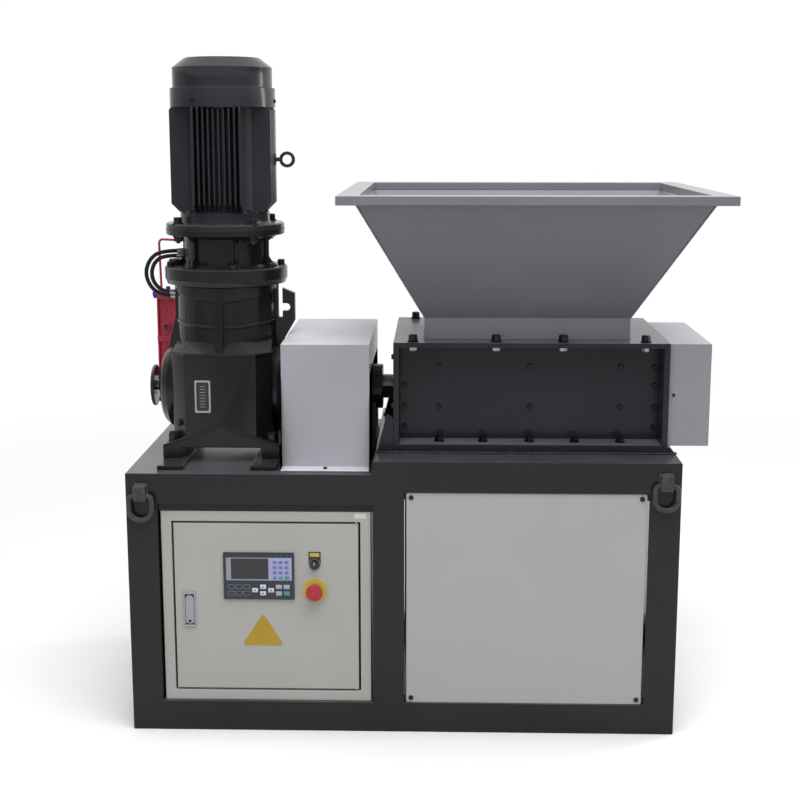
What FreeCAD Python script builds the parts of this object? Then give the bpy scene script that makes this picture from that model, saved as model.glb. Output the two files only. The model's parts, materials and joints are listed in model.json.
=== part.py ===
import FreeCAD, Part
import math
import os
import re

# Twin-shaft shredder: a floor frame carries a vertical gear motor on its low
# left deck and the cutting chamber with its hopper on its high right deck.
# All lengths are in millimetres. +Z is up, the operator stands at -Y, and the
# origin is the bottom centre of the whole machine.

DOC = FreeCAD.newDocument("twin_shaft_shredder")
SHEET = DOC.addObject("Spreadsheet::Sheet", "sizes")
VECTOR = FreeCAD.Vector
NODES = []

SIZES = [
    # Welded frame
    ("tube_size", 75),
    ("low_deck", 646),
    ("high_deck", 678),
    ("cabinet_side_gap", 5.5),
    ("chute_margin", 40),
    ("deck_plate", 12),
    ("panel_gap", 5),
    ("panel_sheet", 3),
    ("panel_recess", 4),
    ("panel_tab", 18),
    ("tab_thickness", 6),
    # Control cabinet and its door
    ("cabinet_width", 504),
    ("cabinet_height", 477),
    ("cabinet_depth", 240),
    ("cabinet_recess", 10),
    ("cabinet_border", 25),
    ("border_depth", 16),
    ("cabinet_sheet", 2),
    ("cabinet_bar_depth", 14),
    ("backing_plate", 3),
    ("backing_margin", 40),
    ("backing_standoff", 20),
    ("standoff_radius", 6),
    ("door_gap", 5),
    ("door_depth", 15),
    ("door_sheet", 2),
    ("hinge_inset", 5),
    ("hinge_pin_radius", 2.5),
    ("hinge_pin_reach", 14),
    ("hinge_barrel_radius", 4.6),
    ("hinge_barrel_length", 30),
    ("running_gap", 0.1),
    # Things fitted to the door, placed from its edges and the cabinet's top
    ("operator_shift", 18),
    ("operator_drop", 159.5),
    ("operator_width", 171),
    ("operator_height", 117),
    ("operator_proud", 6),
    ("switch_inset", 105),
    ("selector_drop", 130),
    ("selector_plate_width", 29),
    ("selector_plate_height", 44),
    ("selector_plate_lift", 9),
    ("switch_plate", 2),
    ("selector_radius", 12.5),
    ("selector_height", 14),
    ("selector_grip", 7),
    ("estop_drop", 195),
    ("estop_ring_radius", 30),
    ("estop_collar_radius", 15),
    ("estop_collar", 9),
    ("estop_radius", 20),
    ("estop_head", 14),
    ("estop_stem_radius", 9),
    ("estop_travel", 5),
    ("stem_gap", 0.3),
    ("latch_inset", 34.5),
    ("latch_drop", 242),
    ("latch_width", 29),
    ("latch_height", 92),
    ("latch_proud", 5),
    ("latch_pocket", 14),
    ("latch_wall", 3.4),
    ("lever_height", 72),
    ("lever_thickness", 4),
    ("lever_lift", 3),
    ("lever_pin_radius", 2),
    ("lever_side_gap", 0.8),
    # Lifting rings on the front posts
    ("ring_drop", 52),
    ("ring_wire_radius", 6.5),
    ("ring_width", 67),
    ("ring_height", 72),
    ("ring_corner", 12),
    ("ring_standoff", 14),
    ("bracket_width", 30),
    ("bracket_wall", 4.5),
    ("bracket_height", 38),
    # Gearbox
    ("drive_inset", 139),
    ("shaft_rise", 134),
    ("pad_width", 63),
    ("pad_length", 468),
    ("pad_thickness", 11),
    ("foot_width", 288),
    ("foot_depth", 304),
    ("foot_height", 33),
    ("gable_height", 78),
    ("gable_thickness", 14),
    ("arch_width", 196),
    ("arch_height", 26),
    ("body_width", 244),
    ("body_depth", 298),
    ("body_chamfer", 36),
    ("shoulder_height", 24),
    ("shoulder_width", 236),
    ("barrel_radius", 122),
    ("barrel_height", 159),
    ("dome_radius", 102),
    ("dome_reach", 175),
    ("dome_rounding", 34),
    ("adapter_flange_radius", 152),
    ("adapter_flange", 44),
    ("adapter_neck_radius", 102),
    ("adapter_neck_height", 92),
    ("adapter_plate", 14),
    # Motor
    ("motor_flange_radius", 146),
    ("motor_flange", 15),
    ("bell_radius", 110),
    ("bell_height", 28),
    ("core_radius", 98),
    ("fin_radius", 126),
    ("fin_count", 10),
    ("fin_spacing", 12.5),
    ("fin_thickness", 4),
    ("fin_body_height", 250),
    ("cowl_radius", 128),
    ("cowl_lip_height", 47),
    ("cowl_upper_radius", 122),
    ("cowl_upper_height", 48),
    ("cowl_cone_height", 24),
    ("cowl_top_radius", 90),
    ("eye_radius", 15.5),
    ("eye_wire_radius", 4.2),
    ("eye_reach", 156),
    ("eye_neck_radius", 5),
    ("terminal_width", 130),
    ("terminal_depth", 72),
    ("terminal_height", 150),
    ("lug_thickness", 22),
    ("lug_drop", 12),
    ("lug_height", 144),
    ("lug_bridge", 70),
    ("lug_offset", 18),
    ("lug_width", 31),
    ("lug_slot", 19),
    ("lug_slot_drop", 48),
    # Turn indicator on the left end of the drive shaft
    ("disc_radius", 52),
    ("disc_thickness", 8),
    ("disc_gap", 8),
    ("indicator_radius", 12),
    # Lubricator beside the gearbox
    ("tank_setback", 380),
    ("tank_inset", 14),
    ("tank_width", 50),
    ("tank_depth", 40),
    ("tank_height", 394),
    ("tank_length", 225),
    ("tank_arm_thickness", 8),
    ("tank_arm_height", 30),
    ("rod_radius", 3),
    ("rod_bend", 12),
    ("tap_radius", 4.5),
    ("tap_stem", 6),
    ("knob_radius", 11),
    ("knob_length", 7),
    ("hose_radius", 5),
    ("union_radius", 7),
    ("union_length", 9),
    ("upper_union_rise", 34),
    ("lower_union_drop", 36),
    ("union_setback", 20),
    ("union_spacing", 11),
    ("valve_radius", 21),
    ("valve_height", 16),
    # Coupling, its pedestal bearing and its cover
    ("shaft_radius", 30),
    ("shaft_gap", 0.3),
    ("coupling_radius", 70),
    ("coupling_length", 90),
    ("bearing_radius", 56),
    ("bearing_width", 45),
    ("bearing_right", 55),
    ("pedestal_width", 50),
    ("pedestal_base", 150),
    ("pedestal_foot", 22),
    ("cover_gap", 10),
    ("cover_setback", 70),
    ("cover_depth", 470),
    ("cover_rise", 135),
    ("cover_sheet", 3),
    ("cover_flange", 42),
    ("cover_stile", 12),
    # Cutting chamber
    ("chamber_shift", 7),
    ("chamber_margin", 81),
    ("chamber_setback", 97),
    ("end_plate", 14),
    ("chamber_height", 258),
    ("wall_recess", 73),
    ("chamber_wall", 12),
    ("base_bar", 22),
    ("flange_plate", 12),
    ("shaft_pitch", 130),
    ("cutter_radius", 82),
    ("cutter_wall_gap", 6),
    ("cutter_root_radius", 72),
    ("cutter_thickness", 20),
    ("cutter_teeth", 4),
    ("spacer_radius", 43),
    ("cutter_pitch", 50),
    ("cutter_count", 10),
    ("comb_height", 44),
    ("comb_clearance", 5),
    ("gland_radius", 31),
    ("gland_length", 20),
    ("gusset_thickness", 12),
    ("gusset_foot", 40),
    ("gusset_height", 95),
    ("small_gusset_foot", 22),
    ("small_gusset_height", 17),
    ("end_cover_depth", 100),
    ("end_cover_setback", 108),
    ("end_cover_length", 392),
    ("end_cover_lift", 19),
    ("end_cover_height", 249),
    ("end_cover_sheet", 2),
    ("shaft_stub", 50),
    # Hopper
    ("hopper_shift", 5),
    ("neck_length", 500),
    ("neck_lap", 2),
    ("neck_height", 52),
    ("hopper_wall", 5),
    ("mouth_length", 804),
    ("mouth_depth", 792),
    ("hopper_rise", 284),
    ("rim_height", 21),
    ("rim_flange", 44),
]
ALIASES = [name for name, number in SIZES]

for row, (name, number) in enumerate(SIZES, start=1):
    SHEET.set("A" + str(row), name)
    SHEET.set("B" + str(row), str(number))
    SHEET.setAlias("B" + str(row), name)
DOC.recompute()

# Shared places, written from the sizes above
LEFT_WIDTH = "(cabinet_width + 2 * cabinet_side_gap)"
RIGHT_WIDTH = "(neck_length + 2 * chute_margin)"
FRAME_WIDTH = "(3 * tube_size + " + LEFT_WIDTH + " + " + RIGHT_WIDTH + ")"
HOPPER_OFFSET = "(" + FRAME_WIDTH + " / 2 - tube_size - " + RIGHT_WIDTH + " / 2 + hopper_shift)"
CX = "(-(" + HOPPER_OFFSET + " + mouth_length / 2 + rim_flange - " + FRAME_WIDTH + " / 2) / 2)"
LEFT = "(" + CX + " - " + FRAME_WIDTH + " / 2)"
RIGHT = "(" + CX + " + " + FRAME_WIDTH + " / 2)"
HOPPER_X = "(" + CX + " + " + HOPPER_OFFSET + ")"
SHAFT_Y = "(-shaft_pitch / 2)"
REAR_Y = "(shaft_pitch / 2)"
WALL_FRONT = "(" + SHAFT_Y + " - cutter_radius - cutter_wall_gap - chamber_wall)"
WALL_BACK = "(-" + WALL_FRONT + ")"
CHAMBER_FRONT = "(" + WALL_FRONT + " - wall_recess)"
CHAMBER_BACK = "(-" + CHAMBER_FRONT + ")"
FRONT = "(" + CHAMBER_FRONT + " - chamber_setback)"
BACK = "(-" + FRONT + ")"
STEP = "(" + LEFT + " + tube_size + " + LEFT_WIDTH + ")"
LEFT_BAY = ("(" + LEFT + " + tube_size)", STEP)
RIGHT_BAY = ("(" + STEP + " + tube_size)", "(" + RIGHT + " - tube_size)")
INNER_FRONT = "(" + FRONT + " + tube_size)"
INNER_BACK = "(" + BACK + " - tube_size)"
SHAFT_Z = "(high_deck + shaft_rise)"
DRIVE_X = "(" + LEFT + " + tube_size + drive_inset)"
BODY_TOP = "(" + SHAFT_Z + " + dome_radius)"
BARREL_TOP = "(" + BODY_TOP + " + barrel_height)"
ADAPTER_FLANGE_TOP = "(" + BARREL_TOP + " + adapter_flange)"
ADAPTER_TOP = "(" + ADAPTER_FLANGE_TOP + " + adapter_neck_height)"
FINS_BOTTOM = "(" + ADAPTER_TOP + " + motor_flange + bell_height)"
MOTOR_MIDDLE = "(" + FINS_BOTTOM + " + fin_body_height / 2)"
CHAMBER_TOP = "(high_deck + chamber_height)"
NECK_TOP = "(" + CHAMBER_TOP + " + flange_plate + neck_height)"
RIM_BOTTOM = "(" + NECK_TOP + " + hopper_rise)"
TANK_TOP = "(low_deck + tank_height)"


def bind(text):
    """Put the sheet's name before each size in an expression."""
    return re.sub(r"[a-z][a-z_]+", lambda word: "sizes." + word.group()
                  if word.group() in ALIASES else word.group(), text)


def number(text):
    """The value of an expression in the sheet's sizes."""
    return float(SHEET.evalExpression(bind(text)))


def numbers(*texts):
    """The values of several expressions."""
    return [number(text) for text in texts]


def keep(name, item):
    """Name a finished piece and list it for the output files."""
    item.Label = name
    NODES.append(item)
    return item


def box(low, high):
    """A box between two corners, each given as three expressions."""
    item = DOC.addObject("Part::Box", "Box")
    for axis, length, start, end in zip("xyz", ("Length", "Width", "Height"), low, high):
        item.setExpression("Placement.Base." + axis, bind(start))
        item.setExpression(length, bind("(" + end + ") - (" + start + ")"))
    return item


TURNS = {"x": FreeCAD.Rotation(VECTOR(0, 1, 0), 90),
         "y": FreeCAD.Rotation(VECTOR(1, 0, 0), -90),
         "z": FreeCAD.Rotation()}


def place(item, axis, start):
    """Turn a round piece along an axis and put its start at three expressions."""
    item.Placement = FreeCAD.Placement(VECTOR(), TURNS[axis])
    for side, text in zip("xyz", start):
        item.setExpression("Placement.Base." + side, bind(text))
    return item


def cylinder(axis, start, radius, length):
    """A cylinder along x, y or z from its start point."""
    item = DOC.addObject("Part::Cylinder", "Cylinder")
    item.setExpression("Radius", bind(radius))
    item.setExpression("Height", bind(length))
    return place(item, axis, start)


def cone(axis, start, radius, end_radius, length):
    """A cone along x, y or z from its start point."""
    item = DOC.addObject("Part::Cone", "Cone")
    item.setExpression("Radius1", bind(radius))
    item.setExpression("Radius2", bind(end_radius))
    item.setExpression("Height", bind(length))
    return place(item, axis, start)


def cut(base, *tools):
    """A piece with others taken away from it."""
    for tool in tools:
        item = DOC.addObject("Part::Cut", "Cut")
        item.Base = base
        item.Tool = tool
        base = item
    return base


def fuse(*pieces):
    """Pieces joined into one solid."""
    item = DOC.addObject("Part::MultiFuse", "Fusion")
    item.Shapes = list(pieces)
    item.Refine = True
    return item


def group(*pieces):
    """Like pieces that don't touch, kept together."""
    item = DOC.addObject("Part::Compound", "Group")
    item.Links = list(pieces)
    return item


def shaped(shape):
    """A piece whose outline is worked out from the sheet in code."""
    item = DOC.addObject("Part::Feature", "Shape")
    item.Shape = shape
    return item


def prism(axis, outline, start, length):
    """A flat outline pushed along an axis; its points are in the other two axes' order."""
    spots = {"x": lambda a, b: VECTOR(start, a, b),
             "y": lambda a, b: VECTOR(a, start, b),
             "z": lambda a, b: VECTOR(a, b, start)}[axis]
    corners = [spots(a, b) for a, b in outline]
    way = {"x": VECTOR(length, 0, 0), "y": VECTOR(0, length, 0), "z": VECTOR(0, 0, length)}[axis]
    return Part.Face(Part.makePolygon(corners + corners[:1])).extrude(way)


def slab(lower, upper):
    """A flat-sided solid between two four-cornered loops of points."""
    faces = [lower, upper]
    for here, there in zip(range(4), (1, 2, 3, 0)):
        faces.append([lower[here], lower[there], upper[there], upper[here]])
    shell = Part.Shell([Part.Face(Part.makePolygon(loop + loop[:1])) for loop in faces])
    solid = Part.Solid(shell)
    if solid.Volume < 0:
        solid.reverse()
    return solid


def tube_path(points, radius=None):
    """Straight runs joined by tangent arcs, and the arcs' radii."""
    edges, radii = [], []
    start = points[0]
    for before, corner, after in zip(points, points[1:], points[2:]):
        inward = (before - corner).normalize()
        outward = (after - corner).normalize()
        half = (math.pi - inward.getAngle(outward)) / 2
        run = min((before - corner).Length, (after - corner).Length)
        setback = radius * math.tan(half) if radius else 0.45 * run
        bend = setback / math.tan(half)
        first = corner + inward * setback
        last = corner + outward * setback
        middle = corner + (inward + outward).normalize() * (bend / math.cos(half) - bend)
        edges.append(Part.LineSegment(start, first).toShape())
        edges.append(Part.Arc(first, middle, last).toShape())
        radii.append(bend)
        start = last
    edges.append(Part.LineSegment(start, points[-1]).toShape())
    return Part.Wire(edges), radii


def tube(points, section, radius=None):
    """A round bar or hose along a path of straight runs and arcs."""
    path, radii = tube_path(points, radius)
    way = points[1] - points[0]
    ring = Part.Wire([Part.makeCircle(section, points[0], way)])
    solid = path.makePipeShell([ring], True, False)
    expected = math.pi * section ** 2 * path.Length
    if abs(solid.Volume / expected - 1) > 0.01:
        raise ValueError("a tube's volume is not its section times its length")
    return solid, path.Length, min(radii)


# Frame: posts, rails and deck plates
def build_frame():
    """The welded tube frame with its two deck heights."""
    columns = ((LEFT, "low_deck"), (STEP, "high_deck"), (RIGHT + " - tube_size", "high_deck"))
    posts = []
    for x, top in columns:
        for y in (FRONT, INNER_BACK):
            posts.append(box((x, y, "0"), (x + " + tube_size", y + " + tube_size", top)))
    keep("posts", group(*posts))
    for name, levels in (("bottom_rails", ("tube_size", "tube_size")),
                         ("top_rails", ("low_deck", "high_deck"))):
        rails = []
        for (start, end), top in zip((LEFT_BAY, RIGHT_BAY), levels):
            for y in (FRONT, INNER_BACK):
                rails.append(box((start, y, top + " - tube_size"), (end, y + " + tube_size", top)))
        tops = (levels[0], levels[1], levels[1])
        for (x, column_top), top in zip(columns, tops):
            rails.append(box((x, INNER_FRONT, top + " - tube_size"),
                             (x + " + tube_size", INNER_BACK, top)))
        keep(name, group(*rails))
    keep("drive_deck", box((LEFT_BAY[0], INNER_FRONT, "low_deck - deck_plate"),
                           (LEFT_BAY[1], INNER_BACK, "low_deck")))
    plate = box((RIGHT_BAY[0], INNER_FRONT, "high_deck - deck_plate"),
                (RIGHT_BAY[1], INNER_BACK, "high_deck"))
    chute = box((THROAT[0], THROAT[1], "high_deck - 2 * deck_plate"),
                (THROAT[2], THROAT[3], "high_deck + deck_plate"))
    keep("chamber_deck", cut(plate, chute))


THROAT = ("(" + HOPPER_X + " - neck_length / 2 + hopper_wall)",
          "(" + WALL_FRONT + " + chamber_wall)",
          "(" + HOPPER_X + " + neck_length / 2 - hopper_wall)",
          "(" + WALL_BACK + " - chamber_wall)")


def panel_corners(start, end, bottom, top):
    """The four corner spots of a panel's tabs, measured inwards."""
    near = "(" + start + ")"
    far = "(" + end + " - panel_tab)"
    low = "(" + bottom + ")"
    high = "(" + top + " - panel_tab)"
    return [(a, b) for a in (near, far) for b in (low, high)]


def build_panels():
    """Sheet panels set into the frame, and the tabs that carry them."""
    sides = []
    tabs = []
    bottom = "tube_size"
    depth = "panel_recess"
    back_of_panel = "panel_recess + panel_sheet"
    # Panels across the width: the front of the right bay and the back of the left bay
    right_top = "high_deck - tube_size"
    left_top = "low_deck - tube_size"
    front = box((RIGHT_BAY[0] + " + panel_gap", FRONT + " + " + depth, bottom + " + 1"),
                (RIGHT_BAY[1] + " - panel_gap", FRONT + " + " + back_of_panel, right_top + " - 1"))
    keep("front_panel", front)
    for a, b in panel_corners(RIGHT_BAY[0], RIGHT_BAY[1], bottom, right_top):
        tabs.append(box((a, FRONT + " + " + back_of_panel, b),
                        (a + " + panel_tab", FRONT + " + " + back_of_panel + " + tab_thickness",
                         b + " + panel_tab")))
    sides.append(box((LEFT_BAY[0] + " + panel_gap", BACK + " - (" + back_of_panel + ")", bottom + " + 1"),
                     (LEFT_BAY[1] + " - panel_gap", BACK + " - " + depth, left_top + " - 1")))
    for a, b in panel_corners(LEFT_BAY[0], LEFT_BAY[1], bottom, left_top):
        tabs.append(box((a, BACK + " - (" + back_of_panel + " + tab_thickness)", b),
                        (a + " + panel_tab", BACK + " - (" + back_of_panel + ")", b + " + panel_tab")))
    # Panels along the depth: the left and right ends
    for edge, sign, top in ((LEFT, "+", left_top), (RIGHT, "-", right_top)):
        outer = edge + " " + sign + " (" + depth + ")"
        inner = edge + " " + sign + " (" + back_of_panel + ")"
        deeper = edge + " " + sign + " (" + back_of_panel + " + tab_thickness)"
        pair = (outer, inner) if sign == "+" else (inner, outer)
        sides.append(box((pair[0], INNER_FRONT + " + panel_gap", bottom + " + 1"),
                         (pair[1], INNER_BACK + " - panel_gap", top + " - 1")))
        pair = (inner, deeper) if sign == "+" else (deeper, inner)
        for a, b in panel_corners(INNER_FRONT, INNER_BACK, bottom, top):
            tabs.append(box((pair[0], a, b), (pair[1], a + " + panel_tab", b + " + panel_tab")))
    keep("side_panels", group(*sides))
    keep("panel_tabs", group(*tabs))


# Control cabinet in the left bay
CABINET_X = "((" + LEFT_BAY[0] + " + " + LEFT_BAY[1] + ") / 2)"
CABINET_LEFT = "(" + CABINET_X + " - cabinet_width / 2)"
CABINET_RIGHT = "(" + CABINET_X + " + cabinet_width / 2)"
CABINET_FACE = "(" + FRONT + " + cabinet_recess)"
CABINET_BACK = "(" + CABINET_FACE + " + cabinet_depth)"
CABINET_TOP = "(tube_size + cabinet_height)"
DOOR_LEFT = "(" + CABINET_LEFT + " + cabinet_border + door_gap)"
DOOR_RIGHT = "(" + CABINET_RIGHT + " - cabinet_border - door_gap)"
DOOR_BOTTOM = "(tube_size + cabinet_border + door_gap)"
DOOR_TOP = "(" + CABINET_TOP + " - cabinet_border - door_gap)"
HINGE_X = "(" + DOOR_RIGHT + " - hinge_inset)"
HINGE_Y = "(" + CABINET_FACE + " + hinge_inset)"


def build_cabinet():
    """The hollow sheet cabinet, its backing plate and the bar that holds its top."""
    outer = box((CABINET_LEFT, CABINET_FACE, "tube_size"), (CABINET_RIGHT, CABINET_BACK, CABINET_TOP))
    inside = box((CABINET_LEFT + " + cabinet_sheet", CABINET_FACE + " + border_depth",
                  "tube_size + cabinet_sheet"),
                 (CABINET_RIGHT + " - cabinet_sheet", CABINET_BACK + " - cabinet_sheet",
                  CABINET_TOP + " - cabinet_sheet"))
    doorway = box((CABINET_LEFT + " + cabinet_border", CABINET_FACE + " - 1",
                   "tube_size + cabinet_border"),
                  (CABINET_RIGHT + " - cabinet_border", CABINET_FACE + " + border_depth + 1",
                   CABINET_TOP + " - cabinet_border"))
    keep("cabinet_box", cut(outer, inside, doorway))
    keep("cabinet_top_bar", box((LEFT_BAY[0], CABINET_FACE + " + 2", CABINET_TOP),
                                (LEFT_BAY[1], CABINET_FACE + " + 2 + cabinet_bar_depth",
                                 "low_deck - tube_size")))
    plate_back = CABINET_BACK + " - cabinet_sheet - backing_standoff"
    plate = box((CABINET_LEFT + " + backing_margin", plate_back + " - backing_plate",
                 "tube_size + backing_margin"),
                (CABINET_RIGHT + " - backing_margin", plate_back, CABINET_TOP + " - backing_margin"))
    studs = []
    for x in (CABINET_LEFT + " + 2 * backing_margin", CABINET_RIGHT + " - 2 * backing_margin"):
        for z in ("tube_size + 2 * backing_margin", CABINET_TOP + " - 2 * backing_margin"):
            studs.append(cylinder("y", (x, plate_back, z), "standoff_radius", "backing_standoff"))
    keep("backing_plate", fuse(plate, *studs))
    pins = []
    for start in (DOOR_TOP + " + door_gap - hinge_pin_reach", "tube_size + cabinet_border"):
        pins.append(cylinder("z", (HINGE_X, HINGE_Y, start), "hinge_pin_radius", "hinge_pin_reach"))
    keep("door_hinge_pins", group(*pins))


def build_door():
    """The cabinet door, a shallow tray that turns on a pin at its top and bottom right corners."""
    tray = box((DOOR_LEFT, CABINET_FACE, DOOR_BOTTOM),
               (DOOR_RIGHT, CABINET_FACE + " + door_depth", DOOR_TOP))
    hollow = box((DOOR_LEFT + " + door_sheet", CABINET_FACE + " + door_sheet", DOOR_BOTTOM + " + door_sheet"),
                 (DOOR_RIGHT + " - door_sheet", CABINET_FACE + " + door_depth + 1", DOOR_TOP + " - door_sheet"))
    bore = cylinder("z", (HINGE_X, HINGE_Y, DOOR_BOTTOM + " - 1"), "hinge_pin_radius + running_gap",
                    DOOR_TOP + " - " + DOOR_BOTTOM + " + 2")
    openings = []
    openings.append(cylinder("y", (SWITCH_X, CABINET_FACE + " - 1", ESTOP_Z), "estop_collar_radius",
                             "door_sheet + 2"))
    openings.append(box((LATCH_LEFT + " + latch_wall / 2", CABINET_FACE + " - 1",
                         LATCH_Z + " - latch_height / 2 + latch_wall / 2"),
                        (LATCH_LEFT + " + latch_width - latch_wall / 2", CABINET_FACE + " + door_sheet + 1",
                         LATCH_Z + " + latch_height / 2 - latch_wall / 2")))
    keep("cabinet_door", cut(tray, hollow, bore, *openings))
    barrels = []
    for start in (DOOR_BOTTOM + " + door_sheet", DOOR_TOP + " - door_sheet - hinge_barrel_length"):
        block = box((HINGE_X + " - hinge_barrel_radius", CABINET_FACE + " + door_sheet", start),
                    (DOOR_RIGHT + " - door_sheet", HINGE_Y + " + hinge_barrel_radius",
                     start + " + hinge_barrel_length"))
        hole = cylinder("z", (HINGE_X, HINGE_Y, start + " - 1"), "hinge_pin_radius + running_gap",
                        "hinge_barrel_length + 2")
        barrels.append(cut(block, hole))
    keep("door_hinge_barrels", group(*barrels))


SWITCH_X = "(" + DOOR_RIGHT + " - switch_inset)"
SELECTOR_Z = "(" + CABINET_TOP + " - selector_drop)"
ESTOP_Z = "(" + CABINET_TOP + " - estop_drop)"
OPERATOR_X = "(" + CABINET_X + " - operator_shift)"
OPERATOR_Z = "(" + CABINET_TOP + " - operator_drop)"
LATCH_X = "(" + DOOR_LEFT + " + latch_inset)"
LATCH_Z = "(" + CABINET_TOP + " - latch_drop)"
LATCH_LEFT = "(" + LATCH_X + " - latch_width / 2)"
PLATE_FACE = "(" + CABINET_FACE + " - switch_plate)"


def build_door_fittings():
    """Operator panel, switches and latch, each seated on the door's face."""
    keep("operator_panel", box(
        (OPERATOR_X + " - operator_width / 2", CABINET_FACE + " - operator_proud",
         OPERATOR_Z + " - operator_height / 2"),
        (OPERATOR_X + " + operator_width / 2", CABINET_FACE, OPERATOR_Z + " + operator_height / 2")))
    plate = box((SWITCH_X + " - selector_plate_width / 2", PLATE_FACE,
                 SELECTOR_Z + " + selector_plate_lift - selector_plate_height / 2"),
                (SWITCH_X + " + selector_plate_width / 2", CABINET_FACE,
                 SELECTOR_Z + " + selector_plate_lift + selector_plate_height / 2"))
    ring = cylinder("y", (SWITCH_X, PLATE_FACE, ESTOP_Z), "estop_ring_radius", "switch_plate")
    collar = cylinder("y", (SWITCH_X, PLATE_FACE + " - estop_collar", ESTOP_Z),
                      "estop_collar_radius", "estop_collar + switch_plate + door_depth")
    bore = cylinder("y", (SWITCH_X, PLATE_FACE + " - estop_collar - 1", ESTOP_Z),
                    "estop_stem_radius + stem_gap", "estop_collar + switch_plate + door_depth + 2")
    keep("switch_plates", group(plate, cut(fuse(ring, collar), bore)))
    head_back = PLATE_FACE + " - estop_collar - estop_travel - 1"
    head = cylinder("y", (SWITCH_X, head_back + " - estop_head", ESTOP_Z), "estop_radius", "estop_head")
    stem = cylinder("y", (SWITCH_X, head_back, ESTOP_Z), "estop_stem_radius",
                    "estop_travel + estop_collar + door_depth / 2")
    keep("estop_button", fuse(head, stem))
    drum = cylinder("y", (SWITCH_X, PLATE_FACE + " - stem_gap - selector_height / 2", SELECTOR_Z),
                    "selector_radius", "selector_height / 2")
    grip = box((SWITCH_X + " - selector_grip / 2", PLATE_FACE + " - stem_gap - selector_height",
                SELECTOR_Z + " - selector_radius * 0.9"),
               (SWITCH_X + " + selector_grip / 2", PLATE_FACE + " - stem_gap - selector_height / 4",
                SELECTOR_Z + " + selector_radius * 0.9"))
    keep("selector_knob", fuse(drum, grip))
    low = LATCH_Z + " - latch_height / 2"
    plate = box((LATCH_LEFT, CABINET_FACE + " - latch_proud", low),
                (LATCH_LEFT + " + latch_width", CABINET_FACE, low + " + latch_height"))
    well = box((LATCH_LEFT + " + latch_wall / 2", CABINET_FACE, low + " + latch_wall / 2"),
               (LATCH_LEFT + " + latch_width - latch_wall / 2", CABINET_FACE + " + latch_pocket",
                low + " + latch_height - latch_wall / 2"))
    pocket = box((LATCH_LEFT + " + latch_wall", CABINET_FACE + " - latch_proud - 1", low + " + latch_wall"),
                 (LATCH_LEFT + " + latch_width - latch_wall", CABINET_FACE + " + latch_pocket - latch_wall",
                  low + " + latch_wall + lever_height + 2 * lever_lift"))
    pin = cylinder("x", (LATCH_LEFT + " + latch_wall / 2", LEVER_Y, LEVER_Z), "lever_pin_radius",
                   "latch_width - latch_wall")
    keep("latch_housing", fuse(cut(fuse(plate, well), pocket), pin))
    lever_left = LATCH_LEFT + " + latch_wall + lever_side_gap"
    bar = box((lever_left, LEVER_Y + " - lever_thickness", LEVER_Z + " - lever_lift"),
              (LATCH_LEFT + " + latch_width - latch_wall - lever_side_gap", LEVER_Y + " + lever_thickness",
               LEVER_Z + " - lever_lift + lever_height"))
    hole = cylinder("x", (lever_left + " - 1", LEVER_Y, LEVER_Z), "lever_pin_radius + running_gap",
                    "latch_width")
    keep("latch_lever", cut(bar, hole))


LEVER_Y = "(" + CABINET_FACE + " - latch_proud + lever_thickness + 1)"
LEVER_Z = "(" + LATCH_Z + " - latch_height / 2 + latch_wall + 2 * lever_lift)"


# Lifting rings in their brackets on the outer front posts
def build_lifting_points():
    """Two forged rings that hang from brackets welded to the posts."""
    brackets = []
    for name, x, deck in (("lifting_ring_left", LEFT + " + tube_size / 2", "low_deck"),
                          ("lifting_ring_right", RIGHT + " - tube_size / 2", "high_deck")):
        axis_y = FRONT + " - ring_standoff"
        axis_z = deck + " - ring_drop"
        bore = "ring_wire_radius + stem_gap"
        bottom = axis_z + " - (" + bore + ") - bracket_wall"
        outer = box((x + " - bracket_width / 2", axis_y + " - (" + bore + ") - bracket_wall", bottom),
                    (x + " + bracket_width / 2", FRONT, bottom + " + bracket_height"))
        hole = cylinder("x", (x + " - bracket_width", axis_y, axis_z), bore, "2 * bracket_width")
        brackets.append(cut(outer, hole))
        px, py, pz, half, corner, drop = numbers(
            x, axis_y, axis_z, "ring_width / 2 - ring_wire_radius", "ring_corner",
            "ring_height - 2 * ring_wire_radius")
        wire = number("ring_wire_radius")
        flat = half - corner
        lower = half - drop
        knee = corner * (1 - math.sqrt(0.5))

        def spot(a, b):
            return VECTOR(px + a, py, pz + b)

        path = Part.Wire([
            Part.LineSegment(spot(0, 0), spot(flat, 0)).toShape(),
            Part.Arc(spot(flat, 0), spot(half - knee, -knee), spot(half, -corner)).toShape(),
            Part.LineSegment(spot(half, -corner), spot(half, lower)).toShape(),
            Part.Arc(spot(half, lower), spot(0, -drop), spot(-half, lower)).toShape(),
            Part.LineSegment(spot(-half, lower), spot(-half, -corner)).toShape(),
            Part.Arc(spot(-half, -corner), spot(knee - half, -knee), spot(-flat, 0)).toShape(),
            Part.LineSegment(spot(-flat, 0), spot(0, 0)).toShape()])
        ring = Part.Wire([Part.makeCircle(wire, spot(0, 0), VECTOR(1, 0, 0))])
        keep(name, shaped(path.makePipeShell([ring], True, False)))
    keep("lifting_brackets", group(*brackets))


# Where the two hoses leave the adapter's neck and come back to the barrel,
# each as a point on the round surface
UPPER_UNIONS = [(DRIVE_X + " - adapter_neck_radius",
                 SHAFT_Y + " + union_setback - " + str(row) + " * union_spacing",
                 ADAPTER_FLANGE_TOP + " + upper_union_rise - " + str(row) + " * union_spacing")
                for row in range(2)]
LOWER_UNIONS = [(DRIVE_X + " - barrel_radius",
                 SHAFT_Y + " + union_setback - " + str(row) + " * union_spacing",
                 BARREL_TOP + " - lower_union_drop + " + str(row) + " * union_spacing")
                for row in range(2)]
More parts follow.
